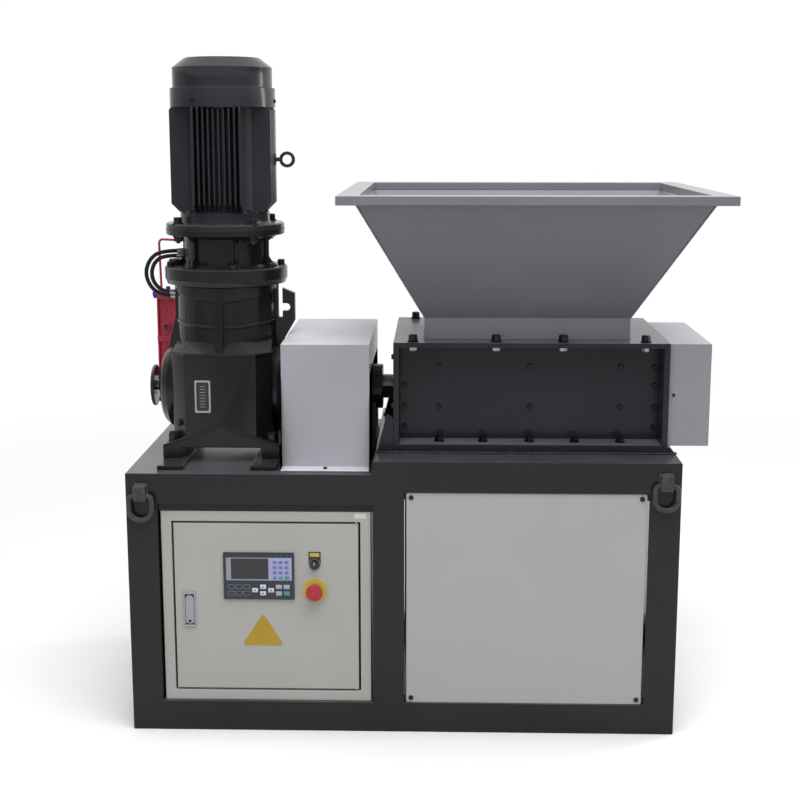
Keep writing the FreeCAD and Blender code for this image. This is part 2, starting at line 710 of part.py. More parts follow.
# The points of each hose's loop, from where it leaves its upper union
HOSE_LOOPS = [
    [(-56, 0, 0), (-86, 1, -22), (-98, 2, -57), (-86, 1, -92), (-56, 0, -114)],
    [(-48, 0, 0), (-72, 1, -18), (-81, 2, -46), (-72, 1, -74), (-48, 0, -92)],
]


# Gearbox, motor and what hangs on them
def octagon(half_width, half_depth, chamfer):
    """The corner points of a rectangle with its corners cut off."""
    x, y = half_width, half_depth
    inner_x, inner_y = x - chamfer, y - chamfer
    return [(inner_x, -y), (x, -inner_y), (x, inner_y), (inner_x, y),
            (-inner_x, y), (-x, inner_y), (-x, -inner_y), (-inner_x, -y)]


def build_gearbox():
    """Cast gearbox on two pads: foot, body, round barrel and the round covers at its sides."""
    pads = []
    for side in (DRIVE_X + " - foot_width / 2", DRIVE_X + " + foot_width / 2 - pad_width"):
        pads.append(box((side, SHAFT_Y + " - pad_length / 2", "low_deck"),
                        (side + " + pad_width", SHAFT_Y + " + pad_length / 2", "low_deck + pad_thickness")))
    keep("mounting_pads", group(*pads))
    x, y, foot, half_foot, foot_depth, foot_height = numbers(
        DRIVE_X, SHAFT_Y, "low_deck + pad_thickness", "foot_width / 2", "foot_depth", "foot_height")
    base = shaped(prism("y", [(x - half_foot, foot), (x + half_foot, foot),
                              (x + half_foot, foot + foot_height), (x - half_foot, foot + foot_height)],
                        y - foot_depth / 2, foot_depth))
    arch = box((DRIVE_X + " - arch_width / 2", SHAFT_Y + " - foot_depth", "low_deck"),
               (DRIVE_X + " + arch_width / 2", SHAFT_Y + " + foot_depth",
                "low_deck + pad_thickness + arch_height"))
    gable_height, thickness, crown = numbers("gable_height", "gable_thickness", "foot_width / 20")
    outline = [(x - half_foot, foot), (x + half_foot, foot), (x + half_foot, foot + foot_height),
               (x + crown, foot + gable_height), (x - crown, foot + gable_height),
               (x - half_foot, foot + foot_height)]
    gables = [shaped(prism("y", outline, start, thickness))
              for start in (y - foot_depth / 2, y + foot_depth / 2 - thickness)]
    half_width, half_depth, chamfer, body_top = numbers(
        "body_width / 2", "body_depth / 2", "body_chamfer", BODY_TOP)
    corners = [(x + a, y + b) for a, b in octagon(half_width, half_depth, chamfer)]
    low = foot + foot_height / 2
    body = shaped(prism("z", corners, low, body_top - low))
    shoulder_top, half_shoulder = numbers(BODY_TOP + " + shoulder_height", "shoulder_width / 2")
    sections = []
    for (wide, deep), cut_off, height in (((half_width, half_depth), chamfer, body_top),
                                          ((half_shoulder, half_shoulder), half_shoulder * 0.59, shoulder_top)):
        points = [VECTOR(x + a, y + b, height) for a, b in octagon(wide, deep, cut_off)]
        sections.append(Part.makePolygon(points + points[:1]))
    shoulder = shaped(Part.makeLoft(sections, True, True))
    barrel = cylinder("z", (DRIVE_X, SHAFT_Y, BODY_TOP), "barrel_radius", BARREL_TOP + " - " + BODY_TOP)
    wide_bore = cylinder("x", (DRIVE_X, SHAFT_Y, SHAFT_Z), "shaft_radius + shaft_gap", "dome_reach * 2")
    thin_bore = cylinder("x", (DRIVE_X + " - dome_reach * 2", SHAFT_Y, SHAFT_Z),
                         "indicator_radius + shaft_gap", "dome_reach * 2 + 1")
    unions = [cylinder("x", (x + " - union_length", y, z), "union_radius", "barrel_radius / 2")
              for x, y, z in LOWER_UNIONS]
    keep("gearbox_housing", cut(fuse(base, *gables, body, shoulder, barrel, *unions),
                                arch, wide_bore, thin_bore))
    covers = []
    for side, bore in ((-1, thin_bore), (1, wide_bore)):
        inner = DRIVE_X + " + " + str(side) + " * body_width / 2"
        straight = "dome_reach - body_width / 2 - dome_rounding"
        start = inner if side > 0 else inner + " - (" + straight + ")"
        drum = cylinder("x", (start, SHAFT_Y, SHAFT_Z), "dome_radius", straight)
        outer = DRIVE_X + " + " + str(side) + " * (dome_reach - dome_rounding)"
        if side > 0:
            nose = cone("x", (outer, SHAFT_Y, SHAFT_Z), "dome_radius", "dome_radius - dome_rounding",
                        "dome_rounding")
        else:
            nose = cone("x", (outer + " - dome_rounding", SHAFT_Y, SHAFT_Z),
                        "dome_radius - dome_rounding", "dome_radius", "dome_rounding")
        covers.append(cut(fuse(drum, nose), bore))
    keep("gearbox_side_covers", group(*covers))


def build_motor():
    """Adapter, flange motor, fan cowl, eye bolt, terminal box and the lifting lug."""
    axis = (DRIVE_X, SHAFT_Y)
    unions = [cylinder("x", (x + " - union_length", y, z), "union_radius", "adapter_neck_radius / 2")
              for x, y, z in UPPER_UNIONS]
    keep("motor_adapter", fuse(
        cylinder("z", axis + (BARREL_TOP,), "adapter_flange_radius", ADAPTER_FLANGE_TOP + " - " + BARREL_TOP),
        cylinder("z", axis + (BARREL_TOP,), "adapter_neck_radius", ADAPTER_TOP + " - " + BARREL_TOP),
        cylinder("z", axis + (ADAPTER_TOP + " - adapter_plate",), "motor_flange_radius", "adapter_plate"),
        *unions))
    bell = ADAPTER_TOP + " + motor_flange"
    cowl = FINS_BOTTOM + " + fin_body_height"
    keep("motor_flange", cylinder("z", axis + (ADAPTER_TOP,), "motor_flange_radius", "motor_flange"))
    x, y, start, height, count, core, tip, spacing, thick = numbers(
        DRIVE_X, SHAFT_Y, FINS_BOTTOM, "fin_body_height", "fin_count", "core_radius", "fin_radius",
        "fin_spacing", "fin_thickness")
    outline = []
    for side in range(4):
        turn = side * math.pi / 2
        for fin in range(int(count)):
            offset = (fin - (count - 1) / 2) * spacing
            root = math.sqrt(core ** 2 - offset ** 2)
            reach = tip - 0.06 * abs(offset)
            for across, out in ((offset - thick / 2, root), (offset - thick / 2, reach),
                                (offset + thick / 2, reach), (offset + thick / 2, root)):
                outline.append((x + across * math.cos(turn) + out * math.sin(turn),
                                y + out * math.cos(turn) - across * math.sin(turn)))
    finned = shaped(prism("z", outline, start, height))
    keep("motor_body", fuse(cylinder("z", axis + (bell,), "bell_radius", "bell_height + 1"), finned))
    keep("fan_cowl", fuse(
        cylinder("z", axis + (cowl,), "cowl_radius", "cowl_lip_height"),
        cylinder("z", axis + (cowl + " + cowl_lip_height",), "cowl_upper_radius", "cowl_upper_height"),
        cone("z", axis + (cowl + " + cowl_lip_height + cowl_upper_height",), "cowl_upper_radius",
             "cowl_top_radius", "cowl_cone_height")))
    eye = DOC.addObject("Part::Torus", "Torus")
    eye.setExpression("Radius1", bind("eye_radius"))
    eye.setExpression("Radius2", bind("eye_wire_radius"))
    place(eye, "y", (DRIVE_X + " + eye_reach", SHAFT_Y, MOTOR_MIDDLE))
    neck = cylinder("x", (DRIVE_X + " + fin_radius", SHAFT_Y, MOTOR_MIDDLE), "eye_neck_radius",
                    "eye_reach - eye_radius - fin_radius")
    keep("motor_eye_bolt", fuse(eye, neck))
    keep("terminal_box", box(
        (DRIVE_X + " - terminal_width / 2", SHAFT_Y + " + fin_radius", MOTOR_MIDDLE + " - terminal_height / 2"),
        (DRIVE_X + " + terminal_width / 2", SHAFT_Y + " + fin_radius + terminal_depth",
         MOTOR_MIDDLE + " + terminal_height / 2")))
    build_lug(x, y)


def build_lug(x, y):
    """The hooked lifting plate on the right side of the gearbox barrel."""
    barrel, top, height, bridge, offset, width, thickness, slot, slot_drop = numbers(
        "barrel_radius", BARREL_TOP + " - lug_drop", "lug_height", "lug_bridge", "lug_offset", "lug_width",
        "lug_thickness", "lug_slot", "lug_slot_drop")
    edge = x + barrel + offset
    inner = x + barrel - offset
    outer = edge + width
    bottom = top - height
    outline = [(inner, bottom), (edge - offset / 3, bottom), (outer, bottom + height * 0.44),
               (outer, top - height * 0.09), (edge, top), (edge, bottom + bridge), (inner, bottom + bridge)]
    plate = shaped(prism("y", outline, y - thickness / 2, thickness))
    slot_z = top - slot_drop
    slot_end = edge + slot / 2
    outline = [(edge - slot, slot_z - slot / 2), (slot_end, slot_z - slot / 2),
               (slot_end, slot_z + slot / 2), (edge - slot, slot_z + slot / 2)]
    slit = shaped(prism("y", outline, y - thickness, 2 * thickness))
    slit_end = cylinder("y", (DRIVE_X + " + barrel_radius + lug_offset + lug_slot / 2",
                              SHAFT_Y + " - lug_thickness", BARREL_TOP + " - lug_drop - lug_slot_drop"),
                        "lug_slot / 2", "2 * lug_thickness")
    barrel = cylinder("z", (DRIVE_X, SHAFT_Y, BODY_TOP), "barrel_radius", BARREL_TOP + " - " + BODY_TOP)
    keep("lifting_lug", cut(plate, slit, slit_end, barrel))


def build_lubricator():
    """Oil tank on an arm of the gearbox, with its stay, its tap, a valve and the pair of hoses."""
    tank_left = LEFT + " + tank_inset"
    tank_front = FRONT + " + tank_setback"
    tank_bottom = TANK_TOP + " - tank_length"
    arm = box((tank_left + " + tank_width / 3", tank_front + " - tank_arm_thickness",
               tank_bottom + " + tank_arm_height"),
              (DRIVE_X + " - body_width / 2", tank_front, tank_bottom + " + 2 * tank_arm_height"))
    tank = box((tank_left, tank_front, tank_bottom),
               (tank_left + " + tank_width", tank_front + " + tank_depth", TANK_TOP))
    keep("oil_tank", fuse(tank, arm))
    middle = tank_front + " + tank_depth / 2"
    level = TANK_TOP + " - knob_radius"
    keep("tank_tap", fuse(
        cylinder("x", (tank_left + " - tap_stem", middle, level), "tap_radius", "tap_stem"),
        cylinder("x", (tank_left + " - tap_stem - knob_length", middle, level), "knob_radius",
                 "knob_length")))
    keep("breather_valve", cylinder(
        "z", (DRIVE_X + " - (adapter_neck_radius + adapter_flange_radius) / 2", SHAFT_Y + " + union_setback",
              ADAPTER_FLANGE_TOP), "valve_radius", "valve_height"))
    x, y, top, under, rod, bend = numbers(
        tank_left + " + tank_width / 5", middle, TANK_TOP, ADAPTER_TOP + " - adapter_plate", "rod_radius",
        "rod_bend")
    flange_x, flange_y = numbers(DRIVE_X + " - adapter_neck_radius", SHAFT_Y + " + adapter_neck_radius * 0.8")
    points = [VECTOR(flange_x, flange_y, under), VECTOR(flange_x, flange_y, under - 2 * bend),
              VECTOR(x - rod, y, under - 2 * bend), VECTOR(x, y, top)]
    stay, length, tightest = tube(points, rod, bend)
    keep("tank_stay", shaped(stay))
    ends = zip(("hose_outer", "hose_inner"), UPPER_UNIONS, LOWER_UNIONS, HOSE_LOOPS)
    for name, upper, lower, loop in ends:
        start = VECTOR(*numbers(*upper)) - VECTOR(number("union_length"), 0, 0)
        finish = VECTOR(*numbers(*lower)) - VECTOR(number("union_length"), 0, 0)
        points = [start] + [start + VECTOR(*step) for step in loop] + [finish]
        hose, length, tightest = tube(points, number("hose_radius"))
        print(name, "length", round(length, 1), "tightest bend", round(tightest, 1))
        print([tuple(round(part / 1000, 5) for part in point) for point in points])
        keep(name, shaped(hose))


# Drive line from the gearbox to the chamber
def build_drive_line():
    """Indicator disc, coupling, pedestal bearing and the sheet cover over them."""
    axis = (SHAFT_Y, SHAFT_Z)
    disc_right = DRIVE_X + " - dome_reach - disc_gap"
    keep("indicator_disc", cylinder("x", (disc_right + " - disc_thickness",) + axis, "disc_radius",
                                    "disc_thickness"))
    bearing_left = CX + " - bearing_right - bearing_width"
    coupling_left = "((" + DRIVE_X + " + dome_reach + " + bearing_left + ") / 2 - coupling_length / 2)"
    coupling = cylinder("x", (coupling_left,) + axis, "coupling_radius", "coupling_length")
    hole = cylinder("x", (coupling_left + " - 1",) + axis, "shaft_radius + shaft_gap", "coupling_length + 2")
    keep("coupling", cut(coupling, hole))
    ring = cylinder("x", (bearing_left,) + axis, "bearing_radius", "bearing_width")
    stand_right = STEP + " - shaft_gap"
    stand = box((stand_right + " - pedestal_width", SHAFT_Y + " - bearing_radius * 0.8", "low_deck"),
                (stand_right, SHAFT_Y + " + bearing_radius * 0.8", SHAFT_Z))
    foot = box((stand_right + " - pedestal_width", SHAFT_Y + " - pedestal_base / 2", "low_deck"),
               (stand_right, SHAFT_Y + " + pedestal_base / 2", "low_deck + pedestal_foot"))
    bore = cylinder("x", (bearing_left + " - pedestal_width",) + axis, "shaft_radius + shaft_gap",
                    "pedestal_width * 3")
    keep("bearing_pedestal", cut(fuse(ring, stand, foot), bore))
    left, right = DRIVE_X + " + foot_width / 2 + cover_gap", STEP + " - cover_gap"
    front, back = FRONT + " + cover_setback", FRONT + " + cover_setback + cover_depth"
    top = SHAFT_Z + " + cover_rise"
    outer = box((left, front, "low_deck"), (right, back, top))
    inside = box((left + " + cover_sheet", front + " + cover_sheet", "low_deck - 1"),
                 (right + " - cover_sheet", back + " - cover_sheet", top + " - cover_sheet"))
    left_gap = box((left + " - 1", front + " + cover_stile", "low_deck - 1"),
                   (left + " + cover_sheet + 1", back + " - cover_stile", BODY_TOP + " + cover_gap"))
    right_gap = box((right + " - cover_sheet - 1", front + " + cover_stile", "low_deck - 1"),
                    (right + " + 1", back + " - cover_stile", SHAFT_Z + " + bearing_radius + cover_gap / 2"))
    lips = [box((left, front + " - cover_flange", "low_deck"), (right, front, "low_deck + cover_sheet")),
            box((left, back, "low_deck"), (right, back + " + cover_flange", "low_deck + cover_sheet"))]
    keep("coupling_cover", fuse(cut(outer, inside, left_gap, right_gap), *lips))


# Cutting chamber
CHAMBER_LEFT = "(" + HOPPER_X + " + chamber_shift - neck_length / 2 - chamber_margin)"
CHAMBER_RIGHT = "(" + HOPPER_X + " + chamber_shift + neck_length / 2 + chamber_margin)"
INNER_LEFT = "(" + CHAMBER_LEFT + " + end_plate)"
INNER_RIGHT = "(" + CHAMBER_RIGHT + " - end_plate)"
CUTTER_START = "(" + HOPPER_X + " - cutter_count * cutter_pitch / 2)"


def build_chamber():
    """End plates with the shaft bores, walls, base bars, the flange and the combs."""
    plates = []
    for start, ys in ((CHAMBER_LEFT, (SHAFT_Y, REAR_Y)), (INNER_RIGHT, (SHAFT_Y, REAR_Y))):
        plate = box((start, CHAMBER_FRONT, "high_deck"), (start + " + end_plate", CHAMBER_BACK, CHAMBER_TOP))
        bores = [cylinder("x", (start + " - 1", y, SHAFT_Z), "shaft_radius + shaft_gap", "end_plate + 2")
                 for y in ys]
        plates.append(cut(plate, *bores))
    keep("end_plates", group(*plates))
    walls = [box((INNER_LEFT, WALL_FRONT, "high_deck"),
                 (INNER_RIGHT, WALL_FRONT + " + chamber_wall", CHAMBER_TOP)),
             box((INNER_LEFT, WALL_BACK + " - chamber_wall", "high_deck"),
                 (INNER_RIGHT, WALL_BACK, CHAMBER_TOP))]
    keep("chamber_walls", group(*walls))
    bars = [box((INNER_LEFT, CHAMBER_FRONT, "high_deck"), (INNER_RIGHT, WALL_FRONT, "high_deck + base_bar")),
            box((INNER_LEFT, WALL_BACK, "high_deck"), (INNER_RIGHT, CHAMBER_BACK, "high_deck + base_bar"))]
    keep("chamber_base_bars", group(*bars))
    flange = box((CHAMBER_LEFT, CHAMBER_FRONT, CHAMBER_TOP),
                 (CHAMBER_RIGHT, CHAMBER_BACK, CHAMBER_TOP + " + flange_plate"))
    throat = box((THROAT[0], THROAT[1], CHAMBER_TOP + " - 1"),
                 (THROAT[2], THROAT[3], CHAMBER_TOP + " + flange_plate + 1"))
    keep("hopper_flange", cut(flange, throat))
    combs = []
    for slot in range(int(number("cutter_count"))):
        for wall, sign, spot, shaft in ((WALL_FRONT + " + chamber_wall", 1, slot + 0.75, SHAFT_Y),
                                        (WALL_BACK + " - chamber_wall", -1, slot + 0.25, REAR_Y)):
            x = CUTTER_START + " + " + str(spot) + " * cutter_pitch"
            tip = shaft + " - " + str(sign) + " * (spacer_radius + comb_clearance)"
            ends = (wall, tip) if sign > 0 else (tip, wall)
            combs.append(box((x + " - cutter_thickness / 2", ends[0], SHAFT_Z + " - comb_height / 2"),
                             (x + " + cutter_thickness / 2", ends[1], SHAFT_Z + " + comb_height / 2")))
    keep("scraper_combs", group(*combs))
    build_gussets()
    left = CHAMBER_RIGHT
    right = CHAMBER_RIGHT + " + end_cover_depth"
    front = FRONT + " + end_cover_setback"
    bottom = "high_deck + end_cover_lift"
    top = bottom + " + end_cover_height"
    outer = box((left, front, bottom), (right, front + " + end_cover_length", top))
    inside = box((left + " - 1", front + " + end_cover_sheet", bottom + " + end_cover_sheet"),
                 (right + " - end_cover_sheet", front + " + end_cover_length - end_cover_sheet",
                  top + " - end_cover_sheet"))
    keep("end_cover", cut(outer, inside))


def build_gussets():
    """Corner ribs that stand on the deck beside the end plates."""
    left, right, front, back, deck, thick = numbers(
        CHAMBER_LEFT, CHAMBER_RIGHT, CHAMBER_FRONT, CHAMBER_BACK, "high_deck", "gusset_thickness")
    foot, height, small_foot, small_height = numbers(
        "gusset_foot", "gusset_height", "small_gusset_foot", "small_gusset_height")
    tall = [(left, deck), (left, deck + height * 0.88), (left - foot * 0.4, deck + height),
            (left - foot, deck)]
    short = [(right, deck), (right + small_foot, deck), (right + small_foot / 4, deck + small_height),
             (right, deck + small_height)]
    ribs = [shaped(prism("y", outline, start, thick))
            for outline in (tall, short) for start in (front, back - thick)]
    keep("gussets", group(*ribs))


def toothed_disc(x, y, z, turn, mirror):
    """One cutter: a disc with hooked teeth, in the plane across the shaft."""
    root, tip, count, thick = numbers("cutter_root_radius", "cutter_radius", "cutter_teeth", "cutter_thickness")
    outline = []
    steps = 6
    for tooth in range(int(count)):
        start = 2 * math.pi * tooth / count + turn
        for step in range(steps + 1):
            radius = root + (tip - root) * (step / steps) ** 2
            angle = start + 2 * math.pi / count * 0.94 * step / steps
            outline.append((y + mirror * radius * math.sin(angle), z + radius * math.cos(angle)))
    return prism("x", outline, x, thick)


def build_rotors():
    """Two cutter shafts that mesh, each cutter running in the other shaft's gap."""
    start, pitch, count, thick, z, radius, spacer = numbers(
        CUTTER_START, "cutter_pitch", "cutter_count", "cutter_thickness", SHAFT_Z, "shaft_radius",
        "spacer_radius")
    inner_left, inner_right, right_end, stub = numbers(INNER_LEFT, INNER_RIGHT, CHAMBER_RIGHT, "shaft_stub")
    gap = number("comb_clearance")
    drive_x, reach, disc_gap, thin = numbers(DRIVE_X, "dome_reach", "disc_gap", "indicator_radius")
    gland, gland_length, outer_left = numbers("gland_radius", "gland_length", CHAMBER_LEFT)
    for name, y, shift, mirror, left_end in (
            ("front_rotor", number(SHAFT_Y), 0.25, 1, drive_x),
            ("rear_rotor", number(REAR_Y), 0.75, -1, outer_left)):
        middle = VECTOR(left_end, y, z)
        way = VECTOR(1, 0, 0)
        pieces = [Part.makeCylinder(radius, right_end + stub - left_end, middle, way),
                  Part.makeCylinder(spacer, inner_right - inner_left - 2 * gap,
                                    VECTOR(inner_left + gap, y, z), way)]
        for cutter in range(int(count)):
            x = start + pitch * (cutter + shift) - thick / 2
            turn = 2 * math.pi * cutter / count * 3 / number("cutter_teeth")
            pieces.append(toothed_disc(x, y, z, turn, mirror))
        if name == "front_rotor":
            tail = drive_x - reach - disc_gap
            pieces.append(Part.makeCylinder(thin, drive_x - tail + 1, VECTOR(tail, y, z), way))
        keep(name, shaped(pieces[0].multiFuse(pieces[1:]).removeSplitter()))


# Hopper
def build_hopper():
    """Neck, four sloping walls mitred at the corners, and the rim round the mouth."""
    bottom = CHAMBER_TOP + " + flange_plate"
    front, back = WALL_FRONT + " - neck_lap", WALL_BACK + " + neck_lap"
    neck = box((HOPPER_X + " - neck_length / 2", front, bottom),
               (HOPPER_X + " + neck_length / 2", back, NECK_TOP))
    bore = box((HOPPER_X + " - neck_length / 2 + hopper_wall", front + " + hopper_wall", bottom + " - 1"),
               (HOPPER_X + " + neck_length / 2 - hopper_wall", back + " - hopper_wall", NECK_TOP + " + 1"))
    keep("hopper_neck", cut(neck, bore))
    x, low, high, wall = numbers(HOPPER_X, NECK_TOP, RIM_BOTTOM, "hopper_wall")
    sizes = numbers("neck_length / 2", back, "mouth_length / 2", "mouth_depth / 2")
    loops = {}
    for level, height, half_x, half_y in (("low", low, sizes[0], sizes[1]), ("high", high, sizes[2], sizes[3])):
        for side, inset in (("out", 0), ("in", wall)):
            loops[level, side] = [VECTOR(x + a * (half_x - inset), b * (half_y - inset), height)
                                  for a, b in ((-1, -1), (1, -1), (1, 1), (-1, 1))]
    walls = []
    for here, there in zip(range(4), (1, 2, 3, 0)):
        ends = [[loops[level, "out"][here], loops[level, "out"][there],
                 loops[level, "in"][there], loops[level, "in"][here]] for level in ("low", "high")]
        walls.append(shaped(slab(ends[0], ends[1])))
    keep("hopper_long_walls", group(walls[0], walls[2]))
    keep("hopper_end_walls", group(walls[1], walls[3]))
    top = RIM_BOTTOM + " + rim_height"
    rim = box((HOPPER_X + " - mouth_length / 2 - rim_flange", "-mouth_depth / 2 - rim_flange", RIM_BOTTOM),
              (HOPPER_X + " + mouth_length / 2 + rim_flange", "mouth_depth / 2 + rim_flange", top))
    mouth = box((HOPPER_X + " - mouth_length / 2 + hopper_wall", "-mouth_depth / 2 + hopper_wall",
                 RIM_BOTTOM + " - 1"),
                (HOPPER_X + " + mouth_length / 2 - hopper_wall", "mouth_depth / 2 - hopper_wall", top + " + 1"))
    keep("hopper_rim", cut(rim, mouth))


def save_parts():
    """Recompute, check each object and write each piece to its own file."""
    DOC.recompute()
    for item in DOC.Objects:
        if "Invalid" in item.State or "Error" in item.State:
            raise ValueError(item.Label + " failed: " + str(item.State))
    for item in NODES:
        if item.Shape.isNull() or not item.Shape.isValid():
            raise ValueError(item.Label + " has no valid shape")
    os.makedirs("parts", exist_ok=True)
    for item in NODES:
        item.Shape.exportStep("parts/" + item.Label + ".step")
    print(len(NODES), "pieces written")


build_frame()
build_panels()
build_cabinet()
build_door()
build_door_fittings()
build_lifting_points()
build_gearbox()
build_motor()
build_lubricator()
build_drive_line()
build_chamber()
build_rotors()
build_hopper()
save_parts()
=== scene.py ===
"""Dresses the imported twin-shaft shredder: frame, cabinet, geared motor, cutting chamber and hopper.

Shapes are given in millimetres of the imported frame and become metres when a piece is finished.
"""
from __future__ import annotations

import json
import logging
import math
import sys
from dataclasses import dataclass
from enum import Enum
from typing import Any, Iterable, Mapping, Sequence

import bmesh
import bpy
from mathutils import Euler, Matrix, Vector

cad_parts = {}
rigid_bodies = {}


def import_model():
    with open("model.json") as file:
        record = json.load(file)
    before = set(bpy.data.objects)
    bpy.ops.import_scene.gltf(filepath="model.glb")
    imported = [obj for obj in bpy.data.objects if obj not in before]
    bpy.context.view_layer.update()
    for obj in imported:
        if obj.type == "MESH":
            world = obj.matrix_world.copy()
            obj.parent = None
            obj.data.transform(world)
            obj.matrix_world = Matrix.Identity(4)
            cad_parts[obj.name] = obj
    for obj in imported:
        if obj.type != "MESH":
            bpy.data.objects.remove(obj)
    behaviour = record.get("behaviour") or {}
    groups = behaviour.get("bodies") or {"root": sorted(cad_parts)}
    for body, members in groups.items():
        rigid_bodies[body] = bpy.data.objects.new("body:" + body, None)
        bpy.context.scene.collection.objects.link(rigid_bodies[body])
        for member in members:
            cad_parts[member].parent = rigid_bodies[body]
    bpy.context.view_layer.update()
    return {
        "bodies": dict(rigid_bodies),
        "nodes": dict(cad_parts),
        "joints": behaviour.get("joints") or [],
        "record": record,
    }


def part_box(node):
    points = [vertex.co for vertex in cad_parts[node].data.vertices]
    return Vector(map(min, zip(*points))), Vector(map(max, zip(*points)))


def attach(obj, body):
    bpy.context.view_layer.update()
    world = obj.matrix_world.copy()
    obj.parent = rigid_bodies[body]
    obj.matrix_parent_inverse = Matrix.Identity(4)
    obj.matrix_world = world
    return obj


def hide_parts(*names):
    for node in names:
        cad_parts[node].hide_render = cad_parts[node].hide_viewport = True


MM = 0.001
MACHINE = "machine"
LOG = logging.getLogger("shredder")
Point = Sequence[float]
Rgb = tuple[int, int, int]
Outline = list[tuple[float, float]]
Socket = bpy.types.NodeSocket
Mesh = bpy.types.Mesh
Piece = bpy.types.Object


# Directions and small geometry
class Axis(Enum):
    """The direction that a prism or a turned part is built along."""

    X = 0
    Y = 1
    Z = 2

    def spot(self, first: float, second: float, along: float) -> Vector:
        """Places two cross values and one value along the axis."""
        parts = (first, second)
        return Vector((*parts[:self.value], along, *parts[self.value:]))


class Facing(Enum):
    """Which way the head of a fastener looks, as a turn of a head that looks up."""

    FRONT = (90.0, 0.0, 0.0)
    BACK = (-90.0, 0.0, 0.0)
    LEFT = (0.0, -90.0, 0.0)
    RIGHT = (0.0, 90.0, 0.0)
    UP = (0.0, 0.0, 0.0)
    DOWN = (180.0, 0.0, 0.0)

    def turn(self) -> tuple[float, float, float]:
        """Gives the turn in radians."""
        return tuple(math.radians(part) for part in self.value)


@dataclass(frozen=True)
class Span:
    """The box that something fills, in millimetres."""

    low: Vector
    high: Vector

    @classmethod
    def of(cls, node: str) -> Span:
        """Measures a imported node."""
        low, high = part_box(node)
        return cls(Vector(low) / MM, Vector(high) / MM)

    @property
    def middle(self) -> Vector:
        """The centre of the box."""
        return (self.low + self.high) / 2

    @property
    def size(self) -> Vector:
        """The box's three lengths."""
        return self.high - self.low


def arc(across: float, up: float, radius: float, start: float, sweep: float, steps: int) -> Outline:
    """Gives points along an arc, both ends included. The start and the sweep are in radians."""
    turns = [start + sweep * step / steps for step in range(steps + 1)]
    return [(across + radius * math.cos(turn), up + radius * math.sin(turn)) for turn in turns]


def rounded(left: float, bottom: float, right: float, top: float, radius: float, steps: int = 4) -> Outline:
    """Gives the outline of a rectangle with round corners.

    Args:
        left: The lowest first value.
        bottom: The lowest second value.
        right: The highest first value.
        top: The highest second value.
        radius: The radius of the corners.
        steps: How many edges each corner has.

    Returns:
        The outline's points in order.
    """
    points = []
    centres = ((right - radius, top - radius), (left + radius, top - radius),
               (left + radius, bottom + radius), (right - radius, bottom + radius))
    for quarter, (across, up) in enumerate(centres):
        points += arc(across, up, radius, math.pi / 2 * quarter, math.pi / 2, steps)
    return points


def disc_outline(across: float, up: float, radius: float, steps: int = 24, start: float = 0.0) -> Outline:
    """Gives points round a circle."""
    return arc(across, up, radius, start, 2 * math.pi, steps)[:-1]


class Shape:
    """A closed mesh under construction, in millimetres."""

    def __init__(self) -> None:
        """Starts empty."""
        self.mesh = bmesh.new()

    def skin(self, rings: Sequence[Sequence[Vector]], looped: bool = False) -> Shape:
        """Joins rings that have equally many points, and closes both ends.

        Args:
            rings: The rings in order.
            looped: Whether the last ring joins the first, so that there are no ends.

        Returns:
            This shape.
        """
        rows = [[self.mesh.verts.new(point) for point in ring] for ring in rings]
        pairs = list(zip(rows, rows[1:]))
        if looped:
            pairs.append((rows[-1], rows[0]))
        for here, there in pairs:
            for spot in range(len(here)):
                after = (spot + 1) % len(here)
                self.mesh.faces.new((here[spot], here[after], there[after], there[spot]))
        if not looped:
            self.mesh.faces.new(rows[0])
            self.mesh.faces.new(rows[-1][::-1])
        return self

    def prism(self, outline: Sequence[Point], axis: Axis, start: float, end: float) -> Shape:
        """Adds a prism from one place on its axis to another, with an outline across it."""
        return self.skin([[axis.spot(a, b, along) for a, b in outline] for along in (start, end)])

    def box(self, low: Point, high: Point) -> Shape:
        """Adds a box between two corners."""
        outline = [(low[0], low[1]), (high[0], low[1]), (high[0], high[1]), (low[0], high[1])]
        return self.prism(outline, Axis.Z, low[2], high[2])

    def turned(self, profile: Sequence[Point], centre: Point, axis: Axis = Axis.Z, steps: int = 64,
               ring: bool = False) -> Shape:
        """Adds a turned part.

        Args:
            profile: Radius and height of each point of the profile. A solid starts and ends at radius 0.
            centre: The point on the axis that heights count from.
            axis: The direction of the axis.
            steps: How many faces go round.
            ring: Whether the profile is closed and clear of the axis.

        Returns:
            This shape.
        """
        middle = Vector(centre)
        rings = []
        for radius, height in profile:
            outline = disc_outline(0.0, 0.0, max(radius, 0.0), steps)
            rings.append([middle + axis.spot(a, b, height) for a, b in outline])
        return self.skin(rings, looped=ring)

    def mesh_data(self, name: str) -> Mesh:
        """Merges doubles, turns the faces outwards and gives the mesh in metres.

        Args:
            name: The mesh's name.

        Returns:
            The mesh.
        """
        bmesh.ops.remove_doubles(self.mesh, verts=self.mesh.verts, dist=1e-4)
        bmesh.ops.dissolve_degenerate(self.mesh, edges=self.mesh.edges, dist=1e-5)
        bmesh.ops.recalc_face_normals(self.mesh, faces=self.mesh.faces)
        self.mesh.transform(Matrix.Scale(MM, 4))
        data = bpy.data.meshes.new(name)
        self.mesh.to_mesh(data)
        self.mesh.free()
        return data


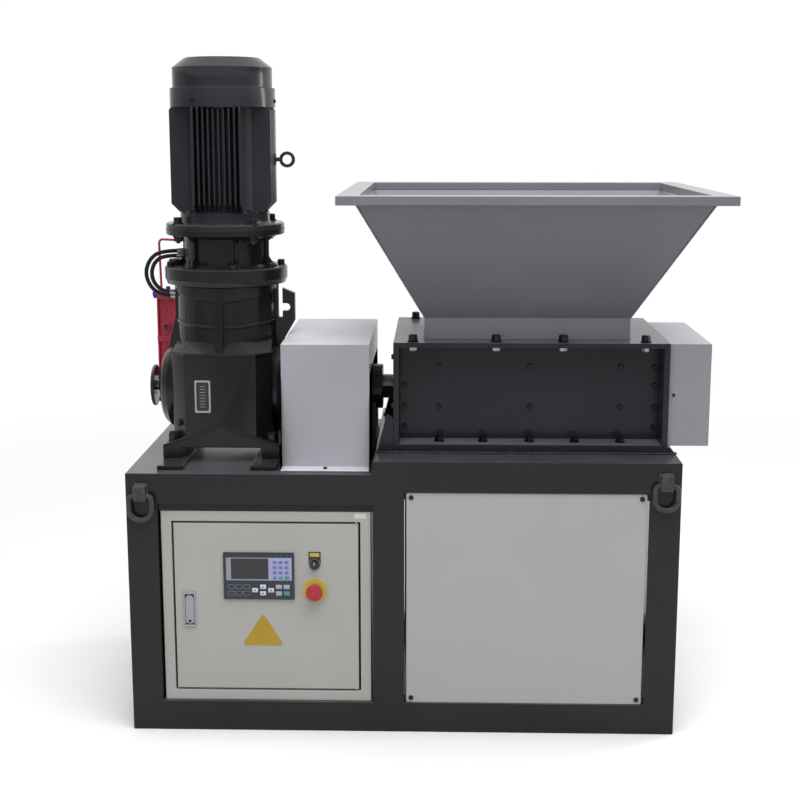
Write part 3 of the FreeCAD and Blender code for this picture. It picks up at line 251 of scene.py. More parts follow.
# Node trees
class Wiring:
    """Adds nodes to a tree, for shaders and for geometry alike."""

    tree: bpy.types.NodeTree

    def feed(self, inputs: Any, sockets: Mapping[Any, Any]) -> None:
        """Sets or links the inputs of a node.

        Args:
            inputs: The node's inputs.
            sockets: The value or link of each named or numbered one.
        """
        for key, value in sockets.items():
            source = value.socket if isinstance(value, Wire) else value
            if isinstance(source, Socket):
                self.tree.links.new(source, inputs[key])
            else:
                inputs[key].default_value = source

    def node(self, kind: str, settings: Mapping[str, Any] | None = None,
             sockets: Mapping[Any, Any] | None = None) -> bpy.types.Node:
        """Adds one node.

        Args:
            kind: The node's type.
            settings: Its settings, which are set first.
            sockets: The value or link of each named or numbered socket.

        Returns:
            The node.
        """
        made = self.tree.nodes.new(kind)
        for key, value in (settings or {}).items():
            setattr(made, key, value)
        self.feed(made.inputs, sockets or {})
        return made

    def out(self, kind: str, sockets: Mapping[Any, Any] | None = None, **settings: Any) -> Socket:
        """Adds one node and gives its first output."""
        return self.node(kind, settings, sockets).outputs[0]

    def maths(self, operation: str, first: Any, second: Any = 0.0, clamp: bool = False) -> Wire:
        """Adds a Math node. A clamped result stays from 0 to 1."""
        made = self.node("ShaderNodeMath", {"operation": operation, "use_clamp": clamp},
                         {0: first, 1: second})
        return Wire(self, made.outputs[0])


class Wire:
    """A value in a node tree. Arithmetic on it adds the Math nodes that work it out."""

    def __init__(self, owner: Wiring, socket: Socket) -> None:
        """Wraps a socket of a wiring."""
        self.owner = owner
        self.socket = socket

    def __add__(self, other: Any) -> Wire:
        """Adds a value."""
        return self.owner.maths("ADD", self, other)

    __radd__ = __add__

    def __sub__(self, other: Any) -> Wire:
        """Takes a value away."""
        return self.owner.maths("SUBTRACT", self, other)

    def __rsub__(self, other: Any) -> Wire:
        """Is taken away from a value."""
        return self.owner.maths("SUBTRACT", other, self)

    def __mul__(self, other: Any) -> Wire:
        """Multiplies by a value."""
        return self.owner.maths("MULTIPLY", self, other)

    __rmul__ = __mul__

    def __truediv__(self, other: Any) -> Wire:
        """Divides by a value."""
        return self.owner.maths("DIVIDE", self, other)

    def step(self, low: float, high: float) -> Wire:
        """Goes smoothly from 0 at one value to 1 at another."""
        made = self.owner.node("ShaderNodeMapRange", {"interpolation_type": "SMOOTHSTEP"},
                               {"Value": self, "From Min": low, "From Max": high})
        return Wire(self.owner, made.outputs[0])


class Recipe(Wiring):
    """The nodes of one material."""

    def __init__(self, name: str) -> None:
        """Starts a material with a Principled shader.

        Args:
            name: The material's name.
        """
        self.material = bpy.data.materials.new(name)
        self.material.use_nodes = True
        self.tree = self.material.node_tree
        self.tree.nodes.clear()
        self.shader = self.node("ShaderNodeBsdfPrincipled")
        self.node("ShaderNodeOutputMaterial", None, {"Surface": self.shader.outputs[0]})
        self.place = self.node("ShaderNodeTexCoord").outputs["Object"]

    def stretched(self, scale: Point) -> Socket:
        """Gives the place on the piece, scaled differently along each axis."""
        return self.out("ShaderNodeMapping", {"Vector": self.place, "Scale": tuple(scale)})

    def noise(self, scale: float, detail: float = 3.0, rough: float = 0.55,
              place: Socket | None = None) -> Wire:
        """Adds a noise pattern, about 0.5 on average, with so many grains in a metre."""
        sockets = {"Vector": place or self.place, "Scale": scale, "Detail": detail, "Roughness": rough}
        return Wire(self, self.out("ShaderNodeTexNoise", sockets))

    def blend(self, factor: Any, first: Any, second: Any) -> Socket:
        """Blends two colours: at factor 0 the first one shows, at 1 the second."""
        return self.node("ShaderNodeMix", {"data_type": "RGBA"}, {0: factor, 6: first, 7: second}).outputs[2]

    def upward(self) -> Wire:
        """Gives how much the surface looks up, from 0 to 1."""
        normal = self.node("ShaderNodeNewGeometry").outputs["Normal"]
        return Wire(self, self.node("ShaderNodeSeparateXYZ", None, {0: normal}).outputs[2]).step(0.55, 0.95)

    def edges(self, radius: float) -> Wire:
        """Gives how near a sharp edge is, from 0 to 1.

        Args:
            radius: How far the effect reaches, in millimetres.

        Returns:
            The mask.
        """
        bent = self.out("ShaderNodeBevel", {"Radius": radius * MM}, samples=4)
        normal = self.node("ShaderNodeNewGeometry").outputs["Normal"]
        dot = self.node("ShaderNodeVectorMath", {"operation": "DOT_PRODUCT"}, {0: bent, 1: normal})
        return (1.0 - Wire(self, dot.outputs["Value"])).step(0.01, 0.22)

    def bump(self, height: Any, depth: float, strength: float, **under: Socket) -> Socket:
        """Turns a pattern into relief of a depth in millimetres, on the relief given as Normal, if any."""
        sockets = {"Strength": strength, "Distance": depth * MM, "Height": height, **under}
        return self.out("ShaderNodeBump", sockets)

    def connect(self, sockets: Mapping[str, Any]) -> None:
        """Feeds the Principled shader."""
        self.feed(self.shader.inputs, sockets)


def linear(colour: Rgb, gain: float = 1.0) -> tuple[float, float, float, float]:
    """Turns a screen colour into a shader colour.

    Args:
        colour: Red, green and blue from 0 to 255.
        gain: How much brighter it becomes.

    Returns:
        The shader colour.
    """
    parts = []
    for part in colour:
        share = part / 255.0
        value = share / 12.92 if share <= 0.04045 else ((share + 0.055) / 1.055) ** 2.4
        parts.append(min(value * gain, 1.0))
    return (parts[0], parts[1], parts[2], 1.0)


def placed(name: str, data: bpy.types.ID) -> Piece:
    """Makes an object of some data and puts it in the scene."""
    made = bpy.data.objects.new(name, data)
    bpy.context.collection.objects.link(made)
    return made


def evaluated(carrier: Piece) -> Mesh:
    """Turns an object with its modifiers into a plain mesh, and removes the object.

    Args:
        carrier: The object.

    Returns:
        The mesh.
    """
    graph = bpy.context.evaluated_depsgraph_get()
    made = bpy.data.meshes.new_from_object(carrier.evaluated_get(graph), depsgraph=graph)
    carrier.modifiers.clear()
    bpy.data.objects.remove(carrier)
    return made


# Finishes
@dataclass(frozen=True)
class Finish:
    """What every finish has: a colour that drifts, a gloss that drifts and a fine grain."""

    name: str
    slot: str
    colour: Rgb
    roughness: float = 0.45
    drift: float = 0.10
    drift_scale: float = 3.0
    uneven: float = 0.10
    grain_scale: float = 300.0
    grain_depth: float = 0.05
    specular: float = 0.5
    coat: float = 0.0

    def material(self) -> bpy.types.Material:
        """Builds the material."""
        recipe = Recipe(self.name)
        self.fill(recipe)
        return recipe.material

    def base(self, recipe: Recipe) -> tuple[Socket, Wire, Socket]:
        """Makes the drifting colour and gloss and the grain.

        Args:
            recipe: The material under construction.

        Returns:
            The colour, the roughness and the relief.
        """
        broad = recipe.noise(self.drift_scale, 4.0)
        fine = recipe.noise(self.grain_scale, 2.0)
        dark = linear(self.colour, 1.0 - self.drift)
        light = linear(self.colour, 1.0 + self.drift)
        colour = recipe.blend((broad * 0.8 + fine * 0.2).step(0.32, 0.68), dark, light)
        rough = broad * self.uneven + fine * self.uneven * 0.5 + (self.roughness - self.uneven * 0.75)
        sheet = recipe.bump(broad, self.grain_depth * 6.0, 0.35)
        relief = recipe.bump(fine, self.grain_depth, 0.6, Normal=sheet)
        return colour, rough, relief

    def fill(self, recipe: Recipe) -> None:
        """Connects the shader of a material."""
        colour, rough, relief = self.base(recipe)
        recipe.connect({"Base Color": colour, "Roughness": rough, "Normal": relief,
                        "Specular IOR Level": self.specular, "Coat Weight": self.coat})


@dataclass(frozen=True)
class Paint(Finish):
    """Paint on steel. Where it looks up it has a pale colour that is part dusting and part painted sheen of
    the bright surroundings. Its worn edges are part uncovered steel and part painted edge highlight.
    """

    # Amount and colour laid on upward faces: dusting, and on the pale lavender finishes also a painted sheen
    # where the tops catch the bright surroundings.
    dust_and_sheen: float = 0.12
    dust_and_sheen_colour: Rgb = (150, 148, 142)
    # Amount and colour of the worn edges: uncovered steel, and on the pale finishes also a painted highlight
    # where edges catch the light.
    wear_and_edge_highlight: float = 0.25
    worn_and_lit_edge_colour: Rgb = (120, 118, 115)
    streak: float = 0.08
    edge: float = 2.0

    def fill(self, recipe: Recipe) -> None:
        """Connects the shader.

        Args:
            recipe: The material under construction.
        """
        colour, rough, relief = self.base(recipe)
        runs = recipe.noise(14.0, 5.0, 0.6, recipe.stretched((1.0, 1.0, 0.12))).step(0.5, 0.75)
        colour = recipe.blend(runs * self.streak, colour, linear(self.colour, 0.55))
        # Pale colour on upward faces: part dusting, part painted sheen of the bright surroundings on the
        # tops.
        top_dust_and_sheen = recipe.upward() * (recipe.noise(9.0, 4.0).step(0.25, 0.75) * 0.4 + 0.6) * self.dust_and_sheen
        colour = recipe.blend(top_dust_and_sheen, colour, linear(self.dust_and_sheen_colour))
        # Lighter colour near sharp edges: part worn paint, part painted edge highlight.
        rubbed_and_lit_edges = recipe.edges(self.edge) * recipe.noise(60.0, 4.0, 0.7).step(0.42, 0.62) * self.wear_and_edge_highlight
        colour = recipe.blend(rubbed_and_lit_edges, colour, linear(self.worn_and_lit_edge_colour))
        recipe.connect({"Base Color": colour, "Roughness": rough + top_dust_and_sheen * 0.35 + rubbed_and_lit_edges * 0.15,
                        "Normal": relief, "Specular IOR Level": self.specular,
                        "Coat Weight": self.coat, "Coat Roughness": 0.12})


@dataclass(frozen=True)
class Metal(Finish):
    """Bare or plated steel, with a brushed or a crystalline face."""

    brush: tuple[float, float, float] = (1.0, 1.0, 1.0)
    stain: Rgb = (92, 84, 74)
    stained: float = 0.25

    def fill(self, recipe: Recipe) -> None:
        """Connects the shader.

        Args:
            recipe: The material under construction.
        """
        colour, rough, relief = self.base(recipe)
        strokes = recipe.noise(220.0, 3.0, 0.6, recipe.stretched(self.brush))
        colour = recipe.blend(strokes.step(0.35, 0.7) * 0.25, colour, linear(self.colour, 0.6))
        spots = recipe.noise(26.0, 6.0, 0.7).step(0.52, 0.72) * self.stained
        colour = recipe.blend(spots, colour, linear(self.stain))
        recipe.connect({"Base Color": colour, "Metallic": 1.0 - spots * 0.6, "Roughness": rough + spots * 0.3,
                        "Normal": recipe.bump(strokes, 0.04, 0.5, Normal=relief)})


@dataclass(frozen=True)
class Moulding(Finish):
    """Smooth plastic or film."""

    roughness: float = 0.38
    drift: float = 0.03
    grain_scale: float = 1000.0
    grain_depth: float = 0.02


@dataclass(frozen=True)
class Screen(Finish):
    """A dark display behind a clear front, with its grid of points."""

    pitch: float = 900.0

    def fill(self, recipe: Recipe) -> None:
        """Connects the shader.

        Args:
            recipe: The material under construction.
        """
        colour, rough, relief = self.base(recipe)
        parts = recipe.node("ShaderNodeSeparateXYZ", None, {0: recipe.place}).outputs
        across, up = (recipe.maths("SINE", Wire(recipe, parts[axis]) * self.pitch * 2.0 * math.pi)
                      for axis in (0, 2))
        colour = recipe.blend((across * up).step(0.0, 1.0) * 0.25, colour, linear(self.colour, 1.9))
        recipe.connect({"Base Color": colour, "Roughness": rough, "Normal": relief,
                        "Specular IOR Level": self.specular, "Coat Weight": self.coat})


FINISHES: tuple[Finish, ...] = (
    # Frame: the pale lavender on its tops is a painted sheen of the bright surroundings, and its lighter
    # edges are partly painted edge highlights.
    Paint("frame_paint", "frame_paint", (38, 38, 40), 0.20, 0.12, specular=0.22,
          grain_depth=0.03, dust_and_sheen=0.17, dust_and_sheen_colour=(176, 174, 184), wear_and_edge_highlight=0.4, worn_and_lit_edge_colour=(104, 103, 106),
          streak=0.12),
    Paint("forged_paint", "frame_paint", (66, 64, 64), 0.50, 0.30, specular=0.35,
          drift_scale=45.0, grain_scale=120.0, grain_depth=0.5, dust_and_sheen=0.15, wear_and_edge_highlight=0.75, worn_and_lit_edge_colour=(156, 154, 152),
          edge=3.0),
    Paint("panel_grey", "panel_grey", (186, 186, 189), 0.46, 0.025, specular=0.35,
          grain_scale=420.0, dust_and_sheen=0.05, wear_and_edge_highlight=0.12, worn_and_lit_edge_colour=(120, 120, 120), streak=0.05),
    Paint("cabinet_grey", "panel_grey", (187, 187, 182), 0.48, 0.03, specular=0.35,
          grain_scale=520.0, grain_depth=0.06, dust_and_sheen=0.05, worn_and_lit_edge_colour=(224, 224, 220), streak=0.07),
    # Coupling cover: the near-white lavender on its tops is mostly a painted reflection of the bright
    # surroundings, and its pale edges are painted edge highlights as well as wear.
    Paint("cover_grey", "cover_grey", (171, 170, 178), 0.30, 0.04, grain_scale=380.0,
          dust_and_sheen=0.70, dust_and_sheen_colour=(242, 241, 248), wear_and_edge_highlight=0.45, worn_and_lit_edge_colour=(226, 226, 230), streak=0.06),
    # End cover: the near-white on its top is mostly a painted reflection of the bright surroundings, and its
    # pale edges are partly painted edge highlights.
    Paint("end_cover_grey", "cover_grey", (154, 152, 160), 0.26, 0.05, grain_scale=380.0,
          dust_and_sheen=0.60, dust_and_sheen_colour=(228, 227, 235), wear_and_edge_highlight=0.45, worn_and_lit_edge_colour=(214, 214, 218)),
    Paint("hopper_grey", "hopper_grey", (133, 132, 140), 0.34, 0.05, grain_depth=0.06,
          dust_and_sheen=0.04, wear_and_edge_highlight=0.35, worn_and_lit_edge_colour=(196, 196, 200), streak=0.06),
    # Hopper rim: the lighter colour on its top is partly a painted sheen, and its pale edges are partly
    # painted edge highlights.
    Paint("rim_grey", "hopper_grey", (124, 123, 129), 0.24, 0.06, grain_depth=0.06,
          dust_and_sheen=0.25, dust_and_sheen_colour=(190, 189, 196), wear_and_edge_highlight=0.6, worn_and_lit_edge_colour=(206, 206, 208), streak=0.10, edge=3.0),
    # Chamber: the pale lavender on its flange tops is partly a painted glare of the bright surroundings and
    # partly light dusting.
    Paint("chamber_paint", "chamber_paint", (38, 37, 45), 0.20, 0.16, specular=0.25, dust_and_sheen=0.38,
          dust_and_sheen_colour=(180, 178, 188), wear_and_edge_highlight=0.55, worn_and_lit_edge_colour=(132, 130, 134), streak=0.18),
    Paint("drive_paint", "drive_paint", (26, 27, 28), 0.24, 0.16, specular=0.32,
          drift_scale=9.0, grain_scale=150.0, grain_depth=0.16, dust_and_sheen=0.10, wear_and_edge_highlight=0.45, worn_and_lit_edge_colour=(92, 92, 96)),
    Paint("motor_paint", "drive_paint", (44, 43, 49), 0.18, specular=0.32, drift_scale=8.0,
          grain_scale=240.0, grain_depth=0.03, dust_and_sheen=0.06, wear_and_edge_highlight=0.35, worn_and_lit_edge_colour=(92, 92, 98), streak=0.05),
    Paint("red_paint", "red_paint", (192, 44, 70), 0.32, 0.12, specular=0.45, drift_scale=10.0,
          dust_and_sheen=0.06, wear_and_edge_highlight=0.4, worn_and_lit_edge_colour=(112, 64, 66), streak=0.18),
    Metal("zinc_steel", "zinc_steel", (182, 183, 187), 0.42, 0.08, drift_scale=30.0,
          stained=0.15, brush=(1.0, 1.0, 0.3)),
    Metal("black_steel", "tool_steel", (58, 57, 60), 0.42, 0.18, drift_scale=40.0,
          stained=0.3, stain=(40, 36, 33)),
    Metal("tool_steel", "tool_steel", (150, 150, 154), 0.34, 0.12, drift_scale=18.0,
          stained=0.45, brush=(0.15, 1.0, 1.0)),
    Finish("black_rubber", "black_rubber", (26, 26, 27), 0.55, 0.2, specular=0.35,
           drift_scale=60.0, grain_scale=700.0, grain_depth=0.08),
    Screen("display", "black_plastic", (34, 33, 40), 0.16, 0.05, grain_depth=0.0),
    Moulding("black_plastic", "black_plastic", (34, 34, 36), 0.36, 0.08, grain_scale=900.0, grain_depth=0.03),
    Moulding("panel_plastic", "black_plastic", (40, 46, 60), 0.40, 0.05, grain_scale=900.0, grain_depth=0.03),
    Moulding("lavender_film", "black_plastic", (176, 180, 216), grain_scale=1200.0, grain_depth=0.015),
    Moulding("silver_film", "black_plastic", (160, 160, 168), 0.34, grain_scale=1200.0, grain_depth=0.015),
    Moulding("number_key", "blue_plastic", (124, 134, 196), drift=0.05),
    Moulding("white_key", "black_plastic", (222, 224, 230)),
    Moulding("pale_key", "black_plastic", (176, 184, 206)),
    Moulding("green_key", "black_plastic", (86, 156, 128), drift=0.05),
    Moulding("latch_grey", "zinc_steel", (172, 171, 180), 0.36, 0.05, 30.0, grain_scale=900.0,
             grain_depth=0.03),
    Moulding("yellow_plastic", "yellow_plastic", (206, 184, 78), 0.42, 0.04, grain_scale=800.0,
             grain_depth=0.03),
    Moulding("plate_yellow", "yellow_plastic", (184, 150, 42), 0.36, 0.05, 12.0, grain_scale=700.0),
    Moulding("red_plastic", "red_plastic", (180, 38, 58), 0.36, 0.05, grain_scale=800.0, grain_depth=0.03,
             coat=0.2),
    Moulding("blue_plastic", "blue_plastic", (36, 66, 196), 0.36, 0.08, grain_scale=700.0, grain_depth=0.03),
    Moulding("white_label", "black_plastic", (226, 226, 222), 0.45, grain_scale=900.0, grain_depth=0.01),
)


class PaintShop:
    """Builds each finish once and gives it by name."""

    def __init__(self, finishes: Iterable[Finish]) -> None:
        """Builds the materials of the finishes."""
        self.finishes = {finish.name: finish for finish in finishes}
        self.materials = {name: finish.material() for name, finish in self.finishes.items()}

    def material(self, name: str) -> bpy.types.Material:
        """Gives a finish's material."""
        return self.materials[name]

    def slot(self, name: str) -> str:
        """Gives the record's slot that a finish belongs to."""
        return self.finishes[name].slot


# What repeats
class Growth(Wiring):
    """A Geometry Nodes tree with named inputs that turns a small mesh into a field of copies."""

    def __init__(self, name: str, inputs: Mapping[str, str]) -> None:
        """Starts the tree.

        Args:
            name: The tree's name.
            inputs: The socket type of each named input.
        """
        self.tree = bpy.data.node_groups.new(name, "GeometryNodeTree")
        self.tree.is_modifier = True
        face = self.tree.interface
        face.new_socket("Geometry", in_out="INPUT", socket_type="NodeSocketGeometry")
        self.keys = {}
        for label, kind in {**inputs, "Finish": "Material"}.items():
            self.keys[label] = face.new_socket(label, in_out="INPUT",
                                               socket_type="NodeSocket" + kind).identifier
        face.new_socket("Geometry", in_out="OUTPUT", socket_type="NodeSocketGeometry")
        self.given = self.tree.nodes.new("NodeGroupInput").outputs
        self.end = self.tree.nodes.new("NodeGroupOutput").inputs[0]

    def wire(self, label: str) -> Wire:
        """Gives a named input as a value."""
        return Wire(self, self.given[label])

    def line(self, count: Any, step: Any = (0.0, 0.0, 0.0), start: Any = (0.0, 0.0, 0.0)) -> Socket:
        """Adds a row of points."""
        sockets = {"Count": count, "Start Location": start, "Offset": step}
        return self.out("GeometryNodeMeshLine", sockets, mode="OFFSET")

    def drum(self, sides: Any, radius: Any, depth: Wire, low: Any) -> Socket:
        """Adds a closed cylinder that starts at a height."""
        sockets = {"Vertices": sides, "Radius": radius, "Depth": depth}
        made = self.node("GeometryNodeMeshCylinder", {"fill_type": "NGON"}, sockets)
        return self.moved(made.outputs["Mesh"], self.vector(0.0, 0.0, depth * 0.5 + low))

    def chosen(self, switch: str, without: Any, given: Any) -> Socket:
        """Picks one of two geometries by a named input."""
        sockets = {"Switch": self.given[switch], "False": without, "True": given}
        return self.out("GeometryNodeSwitch", sockets, input_type="GEOMETRY")

    def chance(self, low: float, high: float) -> Socket:
        """Gives a random value for each copy, by the input named Seed."""
        sockets = {"Seed": self.given["Seed"], 2: low, 3: high}
        made = self.node("FunctionNodeRandomValue", {"data_type": "FLOAT"}, sockets)
        return next(socket for socket in made.outputs if socket.enabled)

    def vector(self, across: Any = 0.0, deep: Any = 0.0, up: Any = 0.0) -> Socket:
        """Joins three values into a vector."""
        return self.out("ShaderNodeCombineXYZ", {0: across, 1: deep, 2: up})

    def scaled(self, vector: Any, factor: Any) -> Socket:
        """Multiplies a vector by a value."""
        made = self.node("ShaderNodeVectorMath", {"operation": "SCALE"}, {"Vector": vector, "Scale": factor})
        return made.outputs[0]

    def rotation(self, euler: Any) -> Socket:
        """Turns three angles into a rotation."""
        return self.out("FunctionNodeEulerToRotation", {0: euler})

    def moved(self, geometry: Any, offset: Any) -> Socket:
        """Moves a geometry by a vector."""
        made = self.node("GeometryNodeTransform", None, {"Geometry": geometry, "Translation": offset})
        return made.outputs[0]

    def joined(self, *parts: Socket) -> Socket:
        """Joins geometries."""
        made = self.tree.nodes.new("GeometryNodeJoinGeometry")
        for part in parts:
            self.tree.links.new(part, made.inputs[0])
        return made.outputs[0]

    def instanced(self, points: Any, instance: Any, rotation: Any = (0.0, 0.0, 0.0)) -> Socket:
        """Puts a copy at each point, turned by a rotation."""
        sockets = {"Points": points, "Instance": instance, "Rotation": rotation}
        return self.out("GeometryNodeInstanceOnPoints", sockets)

    def real(self, copies: Any) -> Socket:
        """Makes copies into a mesh."""
        return self.out("GeometryNodeRealizeInstances", {0: copies})

    def close(self, copies: Any) -> None:
        """Ends the tree in a plain mesh with the finish on it."""
        made = self.node("GeometryNodeSetMaterial", None,
                         {"Geometry": self.real(copies), "Material": self.given["Finish"]})
        self.tree.links.new(made.outputs[0], self.end)

    def grow(self, seed: Mesh, values: Mapping[str, Any]) -> Mesh:
        """Runs the tree on a mesh.

        Args:
            seed: The mesh that goes in.
            values: The value of each named input.

        Returns:
            The plain mesh that comes out.
        """
        carrier = placed("carrier", seed)
        modifier = carrier.modifiers.new("growth", "NODES")
        modifier.node_group = self.tree
        for label, value in values.items():
            modifier[self.keys[label]] = value
        return evaluated(carrier)


FACING = "facing"


class FastenerField(Growth):
    """Screws and bolts: a chamfered head, a washer under it and a key recess in it."""

    def __init__(self) -> None:
        """Builds the tree."""
        super().__init__("fastener_field", {"Sides": "Int", "Radius": "Float", "Height": "Float",
                                            "Washer": "Bool", "Recess": "Bool", "Seed": "Int"})
        radius, height, sides = self.wire("Radius"), self.wire("Height"), self.given["Sides"]
        washer_height = height * 0.16
        low = height * 0.78
        washer = self.drum(24, radius * 1.22, washer_height, 0.0)
        crown = self.node("GeometryNodeMeshCone", {"fill_type": "NGON"}, {
            "Vertices": sides, "Radius Top": radius * 0.84, "Radius Bottom": radius, "Depth": height - low})
        crown = self.moved(crown.outputs["Mesh"], self.vector(0.0, 0.0, low))
        head = self.out("GeometryNodeMergeByDistance", {
            "Geometry": self.joined(self.drum(sides, radius, low, 0.0), crown), "Distance": 1e-6})
        hollow = self.node("GeometryNodeMeshBoolean", {"operation": "DIFFERENCE", "solver": "EXACT"}, {
            "Mesh 1": head, "Mesh 2": self.drum(6, radius * 0.48, height, height * 0.5)})
        head = self.chosen("Recess", head, hollow.outputs["Mesh"])
        both = self.joined(self.moved(head, self.vector(0.0, 0.0, washer_height)), washer)
        whole = self.chosen("Washer", head, both)
        facing = self.node("GeometryNodeInputNamedAttribute", {"data_type": "FLOAT_VECTOR"}, {"Name": FACING})
        copies = self.instanced(self.given["Geometry"], whole, self.rotation(facing.outputs[0]))
        spin = self.rotation(self.vector(0.0, 0.0, self.chance(0.0, math.pi / 3)))
        self.close(self.out("GeometryNodeRotateInstances", {"Instances": copies, "Rotation": spin}))


class RoundField(Growth):
    """Copies of one piece round an axis."""

    def __init__(self) -> None:
        """Builds the tree."""
        super().__init__("round_field", {"Count": "Int", "Centre": "Vector", "Axis": "Vector",
                                         "First": "Float"})
        piece = self.moved(self.given["Geometry"], self.scaled(self.given["Centre"], -1.0))
        points = self.line(self.given["Count"], start=self.given["Centre"])
        place = Wire(self, self.out("GeometryNodeInputIndex"))
        angle = self.wire("First") + place * (2 * math.pi) / self.wire("Count")
        self.close(self.instanced(points, piece, self.rotation(self.scaled(self.given["Axis"], angle))))


class RowField(Growth):
    """Copies of one piece in rows and columns."""

    def __init__(self) -> None:
        """Builds the tree."""
        super().__init__("row_field", {"Across": "Int", "Step Across": "Vector", "Down": "Int",
                                       "Step Down": "Vector"})
        row = self.line(self.given["Across"], self.given["Step Across"])
        column = self.line(self.given["Down"], self.given["Step Down"])
        self.close(self.instanced(column, self.real(self.instanced(row, self.given["Geometry"]))))


class FinField(Growth):
    """Parallel cooling fins on the four sides of a round motor body, from one fin."""

    def __init__(self) -> None:
        """Builds the tree."""
        super().__init__("fin_field", {"Count": "Int", "Spacing": "Float", "Taper": "Float",
                                       "Centre": "Vector"})
        spacing = self.wire("Spacing")
        first = (self.wire("Count") - 1.0) * spacing * -0.5
        row = self.line(self.given["Count"], self.vector(spacing), self.vector(first))
        place = self.out("GeometryNodeInputPosition")
        across = Wire(self, self.out("ShaderNodeSeparateXYZ", {0: place}))
        inwards = self.vector(0.0, self.maths("ABSOLUTE", across) * self.wire("Taper"))
        row = self.out("GeometryNodeSetPosition", {"Geometry": row, "Offset": inwards})
        side = self.real(self.instanced(row, self.given["Geometry"]))
        index = Wire(self, self.out("GeometryNodeInputIndex"))
        turn = self.rotation(self.vector(0.0, 0.0, index * (math.pi / 2)))
        self.close(self.instanced(self.line(4, start=self.given["Centre"]), side, turn))


class WeldField(Growth):
    """A rippled weld bead along lines."""

    def __init__(self) -> None:
        """Builds the tree."""
        super().__init__("weld_field", {"Spacing": "Float", "Width": "Float", "Seed": "Int"})
        curve = self.out("GeometryNodeMeshToCurve", {"Mesh": self.given["Geometry"]})
        curve = self.out("GeometryNodeResampleCurve", {"Curve": curve, "Length": self.given["Spacing"]},
                         mode="LENGTH")
        drop = self.node("GeometryNodeMeshUVSphere", None,
                         {"Segments": 8, "Rings": 4, "Radius": self.wire("Width") * 0.5}).outputs["Mesh"]
        drop = self.out("GeometryNodeTransform", {"Geometry": drop, "Scale": (1.0, 1.0, 0.75)})
        self.close(self.out("GeometryNodeScaleInstances", {
            "Instances": self.instanced(curve, drop),
            "Scale": self.scaled((1.0, 1.0, 1.0), self.chance(0.85, 1.15))}))


@dataclass(frozen=True)
class Fastener:
    """The sizes of one kind of screw or bolt, in millimetres."""

    radius: float
    height: float
    sides: int = 6
    washer: bool = True
    recess: bool = False


Seat = tuple[Point, "Facing | Euler"]


